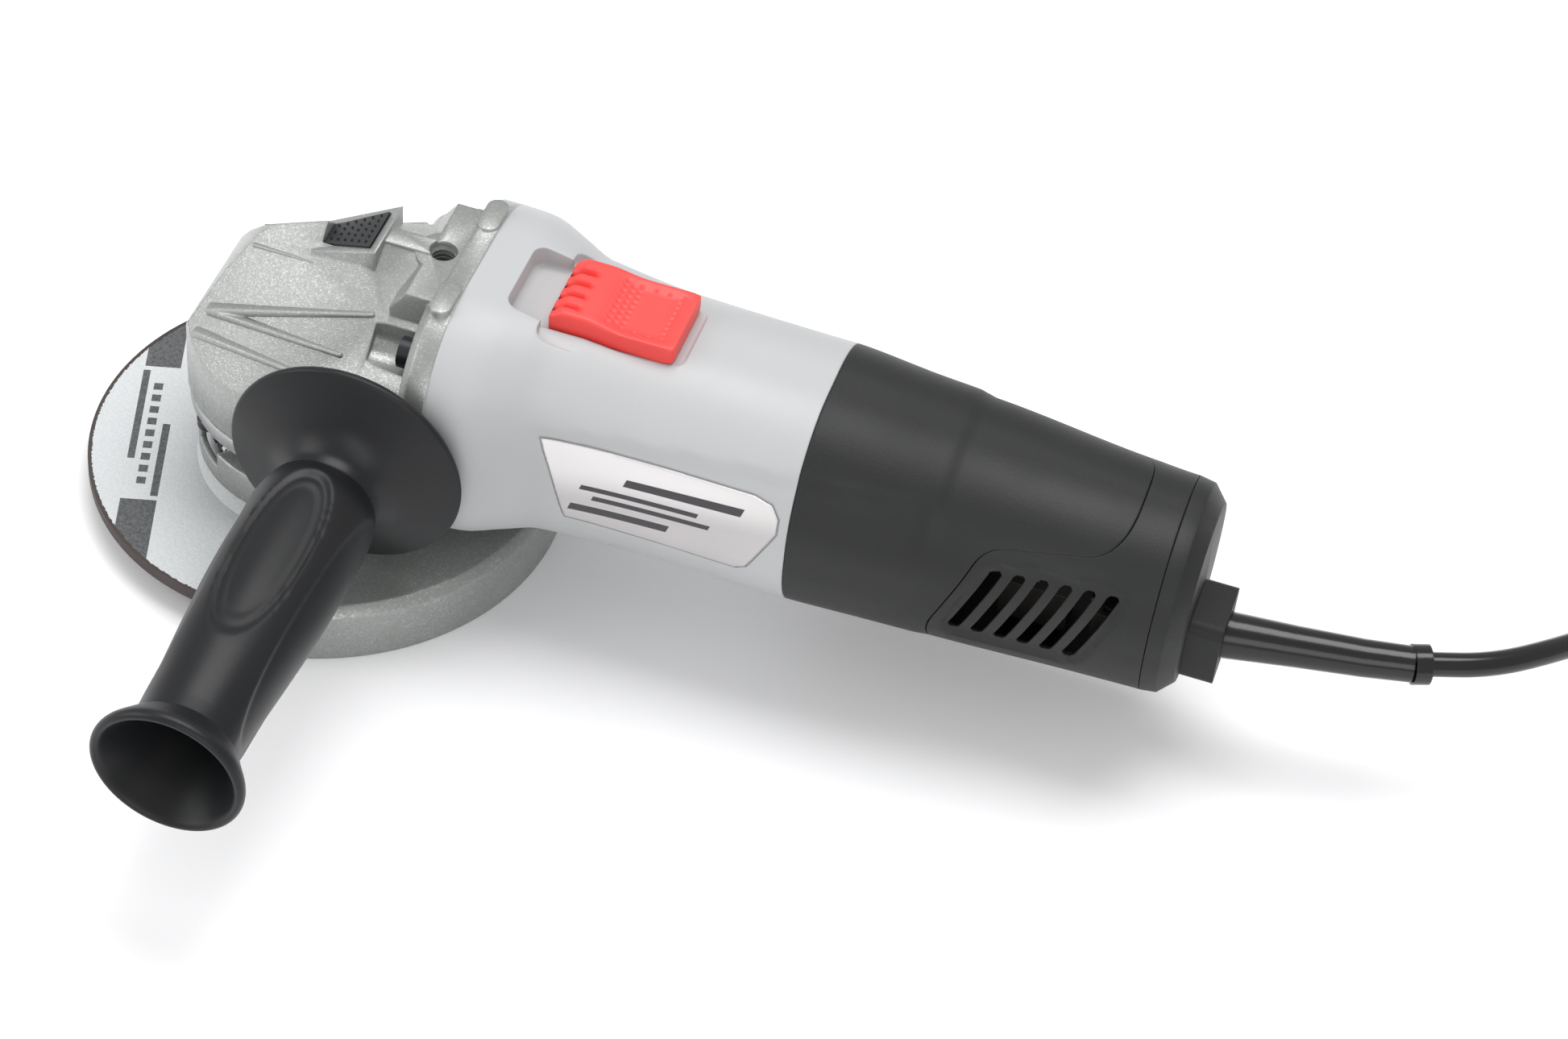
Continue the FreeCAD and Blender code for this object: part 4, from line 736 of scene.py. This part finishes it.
def plate_shape(grow, lift, thick):
    """The side plate: a fine grid trimmed to the outline by cuts, then laid on the barrel."""
    outline = [(67.5, 17.0), (119.5, 16.4), (124.0, 15.2), (126.0, 12.4), (126.0, 8.4), (119.6, -4.6),
               (117.0, -6.2), (74.6, -5.7)]
    choose()
    bpy.ops.mesh.primitive_grid_add(x_subdivisions=96, y_subdivisions=40, size=1.0,
                                    location=at(plate_x, -outside, plate_h),
                                    rotation=(math.pi / 2, 0.0, 0.0))
    plate = bpy.context.object
    plate.scale = (66.0 * mm, 28.0 * mm, 1.0)
    bpy.ops.object.transform_apply(location=True, rotation=True, scale=True)
    bpy.ops.object.mode_set(mode="EDIT")
    for (x0, h0), (x1, h1) in zip(outline, outline[1:] + outline[:1]):
        away = Vector((h0 - h1, 0.0, x1 - x0)).normalized()
        bpy.ops.mesh.select_all(action="SELECT")
        bpy.ops.mesh.bisect(plane_co=at(x0, -outside, h0) + away * grow * mm, plane_no=away,
                            clear_outer=True)
    bpy.ops.object.mode_set(mode="OBJECT")
    apply_modifier(plate, "SHRINKWRAP", target=barrel, wrap_method="PROJECT", use_project_x=False,
                   use_project_y=True, use_project_z=False, use_positive_direction=True,
                   use_negative_direction=True)
    open_all(plate)
    bpy.ops.transform.translate(value=(0.0, -lift * mm, 0.0))
    bpy.ops.mesh.extrude_region_move(TRANSFORM_OT_translate={"value": (0.0, -thick * mm, 0.0)})
    close_outwards()
    return plate


def own_copy(piece):
    """A copy of a piece, with a mesh of its own."""
    copy = piece.copy()
    copy.data = piece.data.copy()
    bpy.context.scene.collection.objects.link(copy)
    return copy


def other_side(piece):
    """The same piece on the far flank."""
    twin = own_copy(piece)
    choose(twin)
    twin.scale = (1.0, -1.0, 1.0)
    bpy.ops.object.transform_apply(location=True, rotation=True, scale=True)
    open_all(twin)
    close_outwards()
    return twin


grey_wall, bore_top = 2.6, 31.0
plate = plate_shape(0.0, -0.35, 0.55)
bed = plate_shape(0.45, -0.4, 6.0)
far_plate, far_bed = other_side(plate), other_side(bed)
bore = [(x, half, min(top, bore_top), bottom, corner)
        for x, half, top, bottom, corner in inset(grey_sections, grey_wall)]
cut(barrel, lofted("bore", reaching(bore, 40.0, 129.7), 4.0))
cut(barrel, bed)
cut(barrel, far_bed)
for side in (-1, 1):
    cut(barrel, rounded_block(60.0, 99.0, 3.6, 34.2, 44.0, 3.0, 0.5, turn=side * -0.32, centre=side * 13.4))
cut(barrel, rounded_block(51.0, 95.0, 11.2, 33.0, 46.0, 3.2, 0.8))
soften(barrel, 0.35, 40.0, loop_slide=False)
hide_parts("motor_housing")
settle(barrel, "grey_plastic", "housing")
plate.name, far_plate.name = "side_plate", "far_side_plate"
for piece in (plate, far_plate):
    soften(piece, 0.12, 40.0)
    merged(piece)
    settle(piece, "label_foil", "housing")
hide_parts("name_plates")

# %% [markdown]
# ## Rear shells
# Behind the grey barrel two black mouldings share one skin: the motor's rear housing and
# the vented cover. The skin is lofted once, the seam's rounded line splits it, and each
# half gets its own details: a soft step over the brushes on one, sunk vent grilles on
# the other. Splitting one skin is what makes the two meet flush, as the tool's own do.

# %% The shared skin
black_sections = [(128.9, 30.0, 32.3, -26.7, 25.5), (150.0, 29.0, 30.4, -26.6, 25.0),
                  (160.0, 28.6, 29.7, -26.5, 24.8), (164.0, 28.0, 28.7, -26.4, 24.5),
                  (205.0, 26.0, 25.0, -26.3, 24.0), (215.0, 25.5, 24.3, -26.2, 23.5)]
seam_line = [(207.0, 60.0), (206.0, 24.0), (200.5, 19.0), (174.0, 17.2), (163.5, -9.0), (166.5, -60.0)]
slot_count, slot_x0, slot_pitch, slot_lean, slot_low, slot_high = 6, 168.5, 5.5, 8.0, -9.0, 12.0
black_wall, grille_y = 2.2, 15.0         # the grilles lie further out than grille_y


def softened(line, trim=4.5, steps=6):
    """Rounds each corner of an open line: it leaves and joins its runs trim mm from the corner."""
    places = [Vector(place) for place in line]
    soft = [places[0]]
    for before, corner, after in zip(places, places[1:], places[2:]):
        start = corner + (before - corner).normalized() * min(trim, (before - corner).length * 0.45)
        end = corner + (after - corner).normalized() * min(trim, (after - corner).length * 0.45)
        for i in range(steps + 1):
            t = i / steps
            soft.append((1 - t) ** 2 * start + 2 * t * (1 - t) * corner + t * t * end)
    return [tuple(place) for place in soft + [places[-1]]]


def slab(name, outline, y0, y1):
    """A flat outline in the x-h plane, extruded from y0 to y1."""
    mesh = bpy.data.meshes.new(name)
    mesh.from_pydata([tuple(at(x, y0, h)) for x, h in outline], [], [tuple(range(len(outline)))])
    piece = new_object(name, mesh)
    open_all(piece)
    bpy.ops.mesh.extrude_region_move(TRANSFORM_OT_translate={"value": (0.0, (y1 - y0) * mm, 0.0)})
    close_outwards()
    return piece


def rear_crease(place):
    """The barrel's styling line runs on and fades out under the brushes."""
    return under_line(place, 22.9 + 0.03 * (place.x - 129.0)) * (1 - soft_step(place.x, 156.0, 163.0))


def grille_bed(place):
    """The sunk panel round the six slots, a leaning rounded rectangle on each flank."""
    if abs(place.y) < grille_y:
        return 0.0
    h = place.z - axis_z
    lean = slot_lean * (h - slot_low) / (slot_high - slot_low)
    half_row = (slot_count - 1) / 2 * slot_pitch
    dx = abs(place.x - lean - slot_x0 - half_row - 1.35) / (half_row + 4.2)
    dh = abs(h - 1.5) / 13.2
    return 1 - soft_step((dx ** 6 + dh ** 6) ** (1 / 6), 0.92, 1.0)


skin = lofted("rear_skin", black_sections, 0.7)
press(skin, crease_depth, rear_crease, keep_x=True)
press(skin, -1.3, grille_bed)
cut(skin, lofted("inside", reaching(inset(black_sections, black_wall), 127.9, 216.0), 4.0))

# %% [markdown]
# From below, the seam climbs in front of the grille, runs back above it and crosses the top
# just before the end cap, with rounded corners. A slab with that line as its front edge
# covers all that is the cover: taken away it leaves the housing, kept it leaves the cover.
# The slab moves a little for each, and the fine gap between them is the seam.

# %% Split it at the seam
soft_seam = softened(seam_line)
gap = 0.16


def beyond(shift):
    """Everything on the cover's side of the seam, moved along x by shift."""
    far_corners = [(240.0, -outside), (240.0, outside)]
    return slab("beyond", [(x + shift, h) for x, h in soft_seam] + far_corners, -outside, outside)


rear_piece = own_copy(skin)
cut(rear_piece, beyond(-gap))
keep = beyond(gap)
apply_modifier(skin, "BOOLEAN", operation="INTERSECT", object=keep, solver="EXACT")
bpy.data.objects.remove(keep)
for number in range(slot_count):
    x = slot_x0 + slot_pitch * number
    foot = [(x, slot_low + 0.9), (x + 0.6, slot_low), (x + 2.1, slot_low), (x + 2.9, slot_low + 0.7)]
    x += slot_lean
    head = [(x + 2.7, slot_high - 0.9), (x + 2.1, slot_high), (x + 0.6, slot_high),
            (x - 0.2, slot_high - 0.7)]
    for y0, y1 in ((-outside, -grille_y), (grille_y, outside)):
        cut(skin, slab("slot", foot + head, y0, y1))
rear_piece.name, skin.name = "rear_barrel", "vent_cover"
for piece, node in ((rear_piece, "rear_housing"), (skin, "rear_cover")):
    soften(piece, 0.25, 42.0, loop_slide=False)
    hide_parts(node)
    settle(piece, "black_plastic", "housing")

# %% [markdown]
# Where the grey and the black shell meet, a mould leaves a lip inside, so that no light and
# no dust gets through the joint. Here it is a short ring just inside both skins.

# %% The lip behind the joint
lip_x, lip_reach, lip_outer, lip_inner = black_sections[0][0], 3.0, 1.7, 3.2
lip_ends = [(x, *black_sections[0][1:]) for x in (lip_x - lip_reach, lip_x + lip_reach)]
lip = lofted("joint_lip", inset(lip_ends, lip_outer), 4.0)
hollow = reaching(inset(lip_ends, lip_inner), lip_x - lip_reach - 1.0, lip_x + lip_reach + 1.0)
cut(lip, lofted("inside", hollow, 4.0))
settle(lip, "black_plastic", "housing")

# %% [markdown]
# ## Printed faces
# The disc's upper face is a sheet of pale paper pressed into the resin before it is
# baked, printed with two dark blocks and plain bars. The side plate is a brushed foil.
# Both prints are masks on Object coordinates, so they turn with the disc.

# %% Printing tools
def overprint(material, mask, colour):
    """Lays a flat colour over a material where the mask is one."""
    tree = material.node_tree
    socket = tree.nodes["Principled BSDF"].inputs["Base Color"]
    below = socket.links[0].from_socket
    tree.links.new(blend_colours(tree, mask, below, colour), socket)


def between(tree, value, low, high):
    """One where the value, in metres, lies between low and high mm."""
    return maths(tree, "COMPARE", value, (low + high) / 2 * mm, (high - low) / 2 * mm)


def spot_axes(tree):
    coordinates = tree.nodes.new("ShaderNodeTexCoord")
    split = tree.nodes.new("ShaderNodeSeparateXYZ")
    tree.links.new(coordinates.outputs["Object"], split.inputs["Vector"])
    return coordinates.outputs["Object"], split.outputs["X"], split.outputs["Y"], split.outputs["Z"]


def added(tree, *terms):
    total = terms[0]
    for term in terms[1:]:
        total = maths(tree, "ADD", total, term)
    return total


def patch_of(tree, along, across, ends, sides):
    return maths(tree, "MULTIPLY", between(tree, along, *ends), between(tree, across, *sides))


# %% [markdown]
# The resin shows at the rim, outside the paper's ragged edge. The print's blocks and bars
# lie along one direction across the disc, so two slanted coordinates place them all.

# %% The disc's paper
disc_face = finish("disc_face", (0.050, 0.038, 0.034), (0.028, 0.020, 0.018), (0.13, 0.09, 0.08),
                   (0.62, 0.75), grain=0.55, depth=0.9, round_mm=0.3, rub=0.5)
tree = disc_face.node_tree
place, x, y, z = spot_axes(tree)
ragged = maths(tree, "MULTIPLY", noise(tree, place, 900.0, 3.0, 0.7), 1.4 * mm)
radius = maths(tree, "SQRT", added(tree, maths(tree, "MULTIPLY", x, x), maths(tree, "MULTIPLY", y, y)))
paper_r, print_cos, print_sin = 57.2, 0.288, 0.958
paper_edge = maths(tree, "LESS_THAN", maths(tree, "ADD", radius, ragged), paper_r * mm)
facing = tree.nodes.new("ShaderNodeSeparateXYZ")
tree.links.new(tree.nodes.new("ShaderNodeNewGeometry").outputs["Normal"], facing.inputs["Vector"])
upper = maths(tree, "GREATER_THAN", facing.outputs["Z"], 0.25)
sheet = maths(tree, "MULTIPLY", paper_edge, upper)
fibre = spread(tree, noise(tree, place, 1500.0, 4.0, 0.6), 0.0, 1.0)
fibres = blend_colours(tree, fibre, (0.50, 0.52, 0.53), (0.60, 0.62, 0.63))
overprint(disc_face, sheet, fibres)
along = added(tree, maths(tree, "MULTIPLY", x, print_cos), maths(tree, "MULTIPLY", y, -print_sin))
across = added(tree, maths(tree, "MULTIPLY", x, print_sin), maths(tree, "MULTIPLY", y, print_cos))
marks = [patch_of(tree, along, across, ends, sides) for ends, sides in (
    ((-60.0, -25.0), (-47.0, -38.0)), ((22.0, 60.0), (-47.0, -38.0)),
    ((-23.6, 8.0), (-47.2, -45.4)), ((-4.7, 20.6), (-39.9, -38.0)))]
dashes = maths(tree, "GREATER_THAN", maths(tree, "FRACT", maths(tree, "MULTIPLY", along, 240.0)), 0.42)
marks.append(maths(tree, "MULTIPLY", dashes, patch_of(tree, along, across, (-20.8, 16.6), (-43.9, -41.6))))
inked = maths(tree, "MULTIPLY", sheet, maths(tree, "MINIMUM", added(tree, *marks), 1.0))
worn_ink = maths(tree, "MULTIPLY", inked, spread(tree, noise(tree, place, 1300.0, 3.0, 0.6), 1.0, 0.86))
overprint(disc_face, worn_ink, (0.045, 0.047, 0.05))
paint(frame["nodes"]["cutting_disc"], disc_face)

# %% [markdown]
# The plate's foil is painted paler towards its head than at its foot, a painted reflection of
# the studio lamp on brushed metal, and four plain bars stand for its lines of print.

# %% The side plate's foil
foil = finish("plate_foil", (0.50, 0.48, 0.48), (0.47, 0.45, 0.455), (0.8, 0.8, 0.8), (0.22, 0.3),
              metal=0.35, grain=0.2, depth=0.03, rub=0.1)
tree = foil.node_tree
_, x, _, z = spot_axes(tree)
height = maths(tree, "ADD", z, maths(tree, "MULTIPLY", x, -0.12))
# painted reflection: the foil's colour turns paler towards the plate's top, standing for the lamp's
# reflection
painted_reflection = tree.nodes.new("ShaderNodeMapRange")
painted_reflection.interpolation_type = "SMOOTHSTEP"
painted_reflection.inputs["From Min"].default_value = (axis_z - 9.0) * mm
painted_reflection.inputs["From Max"].default_value = (axis_z + 2.0) * mm
tree.links.new(height, painted_reflection.inputs["Value"])
overprint(foil, maths(tree, "MULTIPLY", painted_reflection.outputs["Result"], 0.85), (0.78, 0.76, 0.76))
lean, climb = 0.35, 0.052                # the bars' ends lean back, and their lines climb a little
slant = maths(tree, "ADD", x, maths(tree, "MULTIPLY", z, -lean))
level = maths(tree, "ADD", z, maths(tree, "MULTIPLY", x, -climb))
shift, lift = -lean * axis_z, axis_z - climb * plate_x
bars = [patch_of(tree, slant, level, (x0 + shift, x1 + shift), (h0 + lift, h1 + lift))
        for x0, x1, h0, h1 in ((85.0, 113.5, 9.3, 11.5), (76.0, 104.5, 5.6, 7.0),
                               (80.0, 108.5, 2.9, 4.3), (76.0, 100.0, -1.4, 0.8))]
overprint(foil, added(tree, *bars), (0.05, 0.05, 0.055))
for piece in (plate, far_plate):
    paint(piece, foil)
print("printed the disc's paper and the side plates")

# %% [markdown]
# ## Slider and lock button
# The red slider is a soft saddle with four thumb notches in front and a dimpled rear.
# It starts as a box of the slider's size, its corners are bevelled, the top is cut fine,
# and weights then raise its nose, sink its middle and press the notches and dimples.

# %% The slider
low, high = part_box("switch_slider")
slider_x0, slider_x1 = low[0] / mm, high[0] / mm
slider_h0, slider_h1, slider_half = axis_z + 33.1, axis_z + 38.0, 10.4
wall_steps, dimple_pitch, dimple_gap = 12, 1.7, 1.9
notch_rows = (-7.2, -3.0, 1.2, 5.4)
choose()
bpy.ops.mesh.primitive_grid_add(x_subdivisions=88, y_subdivisions=60, size=1.0,
                                location=((slider_x0 + slider_x1) / 2 * mm, 0.0, slider_h1 * mm))
slider = bpy.context.object
slider.scale = ((slider_x1 - slider_x0) * mm, 2 * slider_half * mm, 1.0)
slider.name = "slider_cap"
bpy.ops.object.transform_apply(location=True, rotation=True, scale=True)
open_all(slider)
drop = (slider_h0 - slider_h1) / wall_steps * mm
for step in range(wall_steps):
    bpy.ops.mesh.extrude_region_move(TRANSFORM_OT_translate={"value": (0.0, 0.0, drop)})
close_outwards()


def share_along(place):
    return (place.x - slider_x0) / (slider_x1 - slider_x0)


def crown(place):
    """The high nose of the top; the wall under it is stretched with it."""
    share = share_along(place)
    nose = soft_step(share, 0.0, 0.10) * (1 - soft_step(share, 0.26, 0.62))
    return nose if place.z > slider_h1 - 0.05 else nose * (place.z - slider_h0) / (slider_h1 - slider_h0)


def on_top(place):
    return place.z > slider_h1 - 0.6


def rim(place):
    """Near the top's outline or an upright corner, where the edges are rolled."""
    dx, dy = min(place.x - slider_x0, slider_x1 - place.x), slider_half - abs(place.y)
    gaps = sorted((dx, dy, max(0.0, slider_h1 + 1.7 - place.z)))
    return 1 - soft_step(gaps[1], 0.8, 2.2)


def notch(place):
    """The four thumb notches in the nose."""
    if not on_top(place) or place.x > slider_x0 + 7.5:
        return 0.0
    across = min(abs(place.y - row) for row in notch_rows)
    return (1 - soft_step(across, 0.45, 1.15)) * (1 - soft_step(place.x - slider_x0, 5.6, 7.4))


def dimple(place):
    """The small dimples of the rear, every other row moved along by half a gap."""
    if not on_top(place) or not slider_x0 + 12.0 < place.x < slider_x1 - 2.5 or abs(place.y) > 8.0:
        return 0.0
    row = round((place.x - slider_x0) / dimple_pitch)
    shift = dimple_gap / 2 if row % 2 else 0.0
    dx = (place.x - slider_x0) - row * dimple_pitch
    dy = (place.y + shift) - round((place.y + shift) / dimple_gap) * dimple_gap
    return 1 - soft_step(math.hypot(dx, dy), 0.2, 0.6)


def saddle(place):
    """The sunk middle of the top, between the nose and the rear lip."""
    if not on_top(place):
        return 0.0
    share = share_along(place)
    return (soft_step(share, 0.3, 0.6) * (1 - soft_step(share, 0.8, 1.0))
            * (1 - soft_step(abs(place.y), 6.5, 10.0)))


press(slider, 1.7, crown, "Z")
press(slider, -0.7, saddle, "Z")
press(slider, -1.5, notch, "Z")
press(slider, -0.36, dimple, "Z")
group = slider.vertex_groups.new(name="rim")
for corner in slider.data.vertices:
    group.add([corner.index], rim(corner.co / mm), "REPLACE")
apply_modifier(slider, "SMOOTH", factor=0.5, iterations=24, vertex_group="rim")
settle(slider, "red_plastic", "switch")
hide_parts("switch_slider")

# %% [markdown]
# The lock button's top carries rows of small grip dashes, coloured near black as painted shade
# in its grip grooves. One dash is modelled, a bar with rolled edges, and copied across the
# sloping trapezoid.

# %% The button's dashes
button_climb, button_front_x, button_front_h = 0.47, 2.6, 34.2
button_long, front_half, rear_half = 12.8, 3.4, 6.6
dash_rows, first_row, row_gap, dash_gap, margin = 6, 1.5, 1.95, 1.9, 1.3
# painted shade: the dashes stand for the grip's grooves and take a near-black copy of the button's plastic
painted_groove_shade = finish("button_painted_groove_shade", (0.004, 0.004, 0.0045), (0.003, 0.003, 0.003), (0.02, 0.02, 0.02),
                (0.5, 0.6), shine=0.2)
choose()
bpy.ops.mesh.primitive_cube_add(size=1.0, scale=(0.62 * mm, 1.05 * mm, 0.30 * mm),
                                rotation=(0.0, -math.atan(button_climb), 0.55))
dash = bpy.context.object
bpy.ops.object.transform_apply(location=True, rotation=True, scale=True)
apply_modifier(dash, "BEVEL", width=0.12 * mm, segments=2)
dashes = []
for row in range(dash_rows):
    x = button_front_x + first_row + row_gap * row
    half = front_half + (rear_half - front_half) * (x - button_front_x) / button_long - margin
    count = max(2, int(2 * half / dash_gap) + 1)
    for i in range(count):
        y = -half + 2 * half * i / (count - 1)
        dashes.append(own_copy(dash))
        dashes[-1].location = at(x, y, button_front_h + button_climb * (x - button_front_x) - 0.02)
bpy.data.objects.remove(dash)
choose(*dashes)
bpy.ops.object.join()
bpy.ops.object.transform_apply(location=True, rotation=True, scale=True)
dash_set = bpy.context.object
dash_set.name = "button_dashes"
settle(dash_set, "button_plastic", "lock", painted_groove_shade)

# %% [markdown]
# The CAD model's lock spring is a plain sleeve. A real coil stands for it: a ring of wire
# screwed up the pin.

# %% The lock button's spring
spring_foot, spring_top, wire_r, coil_r, coils = 26.5, 34.5, 0.4, 2.9, 4
choose()
bpy.ops.mesh.primitive_circle_add(vertices=12, radius=wire_r * mm, fill_type="NOTHING",
                                  rotation=(math.pi / 2, 0.0, 0.0))
spring = bpy.context.object
spring.name = "lock_spring_coil"
bpy.ops.object.transform_apply(location=True, rotation=True, scale=True)
open_all(spring)
bpy.ops.transform.translate(value=(coil_r * mm, 0.0, 0.0))
bpy.ops.object.mode_set(mode="OBJECT")
apply_modifier(spring, "SCREW", angle=math.tau, iterations=coils, steps=28, render_steps=28,
               use_merge_vertices=True, screw_offset=(spring_top - spring_foot - 2 * wire_r) / coils * mm)
open_all(spring)
bpy.ops.mesh.fill_holes(sides=0)
close_outwards()
spring.location = at(10.0, 0.0, spring_foot + wire_r)
bpy.ops.object.transform_apply(location=True, rotation=True, scale=True)
settle(spring, "steel", "housing")
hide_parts("lock_spring")
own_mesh(spring)

# %% [markdown]
# ## Details of the head
# The casting carries stiffening ridges, a shallow V on each slope of its roof and two more
# beside it. A ridge is a slim bar that thins to its far end, bevelled until it is nearly
# half round and sunk to its middle.

# %% Ridges on the roof
thin_wide, thin_tall = 0.45, 0.55        # the far end's share of the width and of the height


def ridge(start, end, wide, tall):
    """A slim rounded bar from start to end, thin at its far end."""
    choose()
    run = end - start
    bpy.ops.mesh.primitive_cube_add(size=1.0, scale=(run.length, wide * mm, tall * mm))
    bar = bpy.context.object
    bpy.ops.object.transform_apply(location=False, rotation=False, scale=True)
    bpy.ops.object.mode_set(mode="EDIT")
    mesh = bmesh.from_edit_mesh(bar.data)
    bpy.ops.mesh.select_mode(type="VERT")
    for corner in mesh.verts:
        corner.select_set(corner.co.x > 0)
    bmesh.update_edit_mesh(bar.data)
    bpy.ops.transform.resize(value=(1.0, thin_wide, thin_tall), center_override=(0.0, 0.0, 0.0))
    bpy.ops.object.mode_set(mode="OBJECT")
    apply_modifier(bar, "BEVEL", width=0.26 * min(wide, tall) * mm, segments=4)
    bar.name = "ridge"
    bar.rotation_euler = run.to_track_quat("X", "Z").to_euler()
    bar.location = (start + end) / 2
    choose(bar)
    bpy.ops.object.transform_apply(location=True, rotation=True, scale=True)
    return bar


ridges = []
for side in (-1, 1):
    apex = at(-22.6, side * 14.6, 12.9)
    ridges.append(ridge(apex, at(21.0, side * 17.1, 29.1), 3.2, 2.4))
    ridges.append(ridge(apex, at(15.6, side * 24.1, 20.0), 2.8, 2.2))
    ridges.append(ridge(at(-15.6, side * 3.4, 27.0), at(1.4, side * 7.2, 30.4), 1.2, 0.9))
    ridges.append(ridge(at(-24.6, side * 18.3, 8.2), at(10.7, side * 28.1, 13.5), 3.0, 2.2))
choose(*ridges)
bpy.ops.object.join()
roof_ridges = bpy.context.object
roof_ridges.name = "roof_ridges"
settle(roof_ridges, "silver_casting", "housing")

# %% [markdown]
# The hole on top of the head takes the handle too, so it is threaded. The thread is one
# tooth, a line with a single bend, screwed up the bore and then given a thin wall.

# %% The thread in the top hole
hole_r, turns, pitch = 3.4, 7, 1.25
top_x, top_h = 31.5, 38.6
root_r, crest_r = hole_r + 0.05, hole_r - 0.62
tooth = bpy.data.meshes.new("top_thread")
foot = axis_z + top_h - 0.5 - turns * pitch
tooth.from_pydata([(root_r * mm, 0.0, foot * mm), (crest_r * mm, 0.0, (foot + pitch / 2) * mm),
                   (root_r * mm, 0.0, (foot + pitch) * mm)], [(0, 1), (1, 2)], [])
thread = new_object("top_thread", tooth)
apply_modifier(thread, "SCREW", angle=math.tau, screw_offset=pitch * mm, iterations=turns - 1,
               steps=40, render_steps=40, use_merge_vertices=True)
thread.location = (top_x * mm, 0.0, 0.0)
choose(thread)
bpy.ops.object.transform_apply(location=True, rotation=True, scale=True)
open_all(thread)
bpy.ops.mesh.remove_doubles(threshold=1e-6)
bpy.ops.object.mode_set(mode="OBJECT")
apply_modifier(thread, "SOLIDIFY", thickness=0.05 * mm, offset=0.0)
settle(thread, "silver_casting", "housing")

# %% [markdown]
# Last, the lead takes the cord's rubber finish.

lead.data.materials.append(finishes["cord_rubber"])
bpy.context.view_layer.update()
